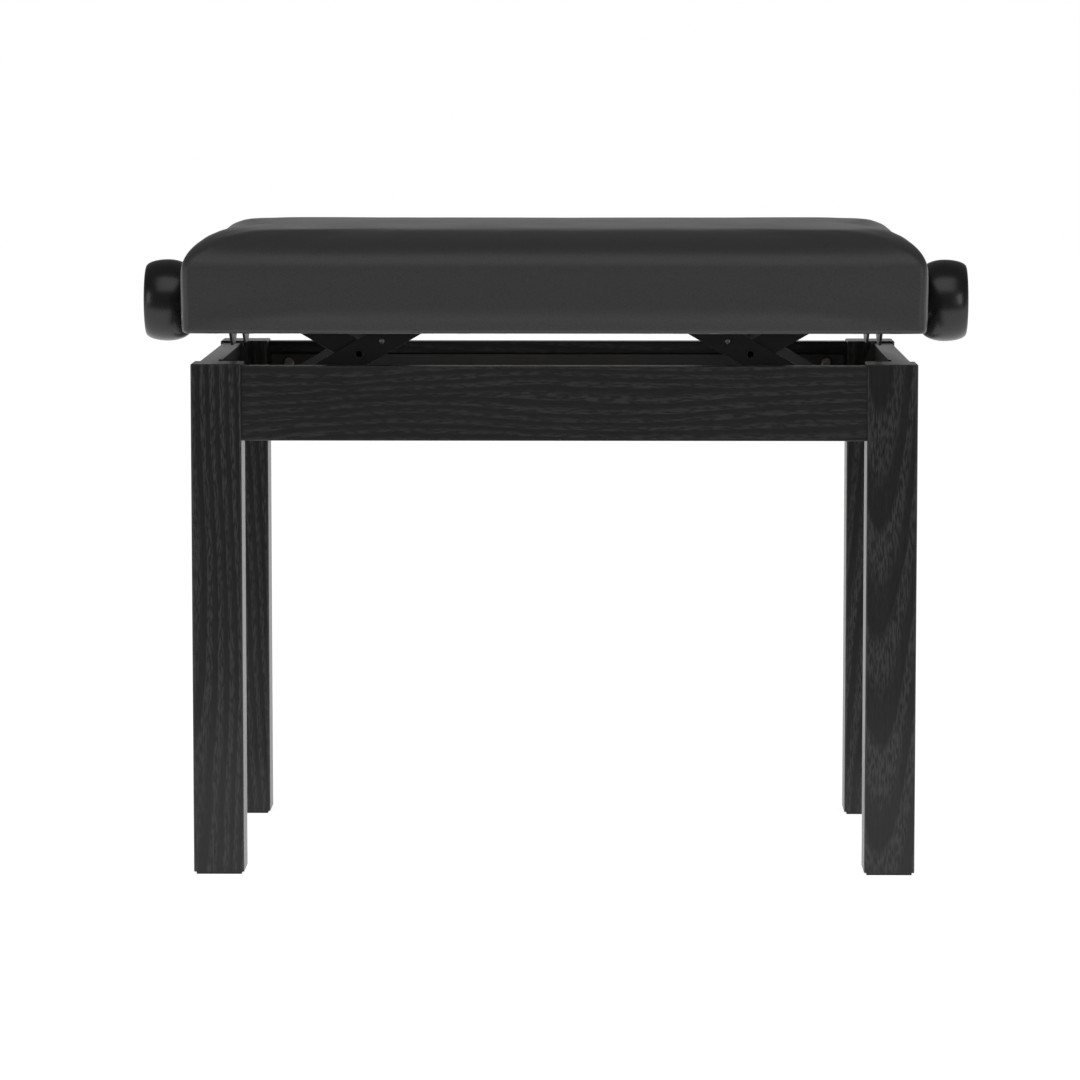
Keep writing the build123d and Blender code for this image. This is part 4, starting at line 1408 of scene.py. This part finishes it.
@dataclass
class Studio:
    """A pale floor, soft white surroundings, three softboxes and the camera."""

    floor_size: float = 12.0
    floor_front: float = 0.95
    floor_white: float = 0.9
    floor_glow: float = 0.86
    front_glow: float = 0.17
    rear_glow: float = 0.80
    ceiling_glow: float = 0.16
    front_to_rear: tuple[float, float] = (-0.6, 0.35)
    side_to_ceiling: tuple[float, float] = (0.03, 0.36)
    camera_place: Triple = (0.0323, -3.702, 0.6195)
    camera_turn: Triple = (84.108, 0.0, 0.692)
    lens: float = 158.25
    sensor: float = 36.0
    softboxes: tuple[Softbox, ...] = (
        Softbox("softbox_over", (0.0, -1.7, 2.4), (0.0, 0.0, 0.4), 2.4, 2.0, 17.0),
        Softbox("softbox_right", (1.7, -2.2, 0.7), (0.3, 0.0, 0.42), 0.6, 1.2, 6.5),
        Softbox("softbox_left", (-2.3, -1.6, 0.7), (-0.3, 0.0, 0.42), 0.9, 1.2, 6.5),
    )

    def build(self) -> None:
        """Lay the floor, light it and set the camera."""
        self.floor()
        self.surroundings()
        for softbox in self.softboxes:
            softbox.hang()
        self.camera()

    def floor(self) -> None:
        """Lay the plain pale floor."""
        deselect_everything()
        bpy.ops.mesh.primitive_plane_add(size=self.floor_size, location=(0, self.floor_size / 2 - self.floor_front, 0))
        floor = bpy.context.object
        settle_place(floor)
        floor.name = "studio_floor"
        white = (self.floor_white, self.floor_white, self.floor_white, 1)
        recipe = Recipe("studio_floor_white", Base_Color=white, Roughness=0.9, Specular_IOR_Level=0.1,
                        Emission_Color=(1, 1, 1, 1), Emission_Strength=self.floor_glow)
        floor.data.materials.append(recipe.material)

    def surroundings(self) -> None:
        """Surround the bench with soft white, dimmer at the front and overhead."""
        world = bpy.data.worlds.new("studio_white")
        world.use_nodes = True
        tree = world.node_tree
        tree.nodes.clear()
        output = tree.nodes.new("ShaderNodeOutputWorld")
        shown, felt = tree.nodes.new("ShaderNodeBackground"), tree.nodes.new("ShaderNodeBackground")
        mix, path = tree.nodes.new("ShaderNodeMixShader"), tree.nodes.new("ShaderNodeLightPath")
        place, axes = tree.nodes.new("ShaderNodeTexCoord"), tree.nodes.new("ShaderNodeSeparateXYZ")
        spread, lift = tree.nodes.new("ShaderNodeMapRange"), tree.nodes.new("ShaderNodeMapRange")
        spread.interpolation_type = lift.interpolation_type = "SMOOTHSTEP"
        for node, span in ((spread, self.front_to_rear), (lift, self.side_to_ceiling)):
            node.inputs["From Min"].default_value, node.inputs["From Max"].default_value = span
        spread.inputs["To Min"].default_value = self.front_glow
        spread.inputs["To Max"].default_value = self.rear_glow
        lift.inputs["To Max"].default_value = self.ceiling_glow
        shown.inputs["Strength"].default_value = 1.0
        shown.inputs["Color"].default_value = felt.inputs["Color"].default_value = (1, 1, 1, 1)
        for start, end in ((place.outputs["Generated"], axes.inputs[0]), (axes.outputs["Y"], spread.inputs["Value"]),
                           (axes.outputs["Z"], lift.inputs["Value"]), (spread.outputs[0], lift.inputs["To Min"]),
                           (lift.outputs[0], felt.inputs["Strength"]), (path.outputs["Is Camera Ray"], mix.inputs[0]),
                           (felt.outputs[0], mix.inputs[1]), (shown.outputs[0], mix.inputs[2]),
                           (mix.outputs[0], output.inputs["Surface"])):
            tree.links.new(start, end)
        bpy.context.scene.world = world
        bpy.context.scene.view_settings.view_transform = "Standard"

    def camera(self) -> None:
        """Set the camera."""
        data = bpy.data.cameras.new("studio_camera")
        data.sensor_width, data.lens = self.sensor, self.lens
        camera = bpy.data.objects.new("studio_camera", data)
        camera.location = self.camera_place
        camera.rotation_euler = tuple(math.radians(a) for a in self.camera_turn)
        bpy.context.scene.collection.objects.link(camera)
        bpy.context.scene.camera = camera


def main() -> None:
    """Build the bench in order."""
    logging.basicConfig(level=logging.INFO, format="%(name)s: %(message)s")
    workshop = Workshop()
    LegFrame(workshop).finish()
    SeatBox(workshop).finish()
    SteelLift(workshop).build()
    DrivenScrews(workshop).build()
    ArmRivets(workshop).build()
    ThreadedSpindle(workshop).build()
    TurnedKnobs(workshop).build()
    SeatUpholstery(workshop).build()
    HemStaples(workshop).build()
    Studio().build()


if __name__ == "__main__":
    main()
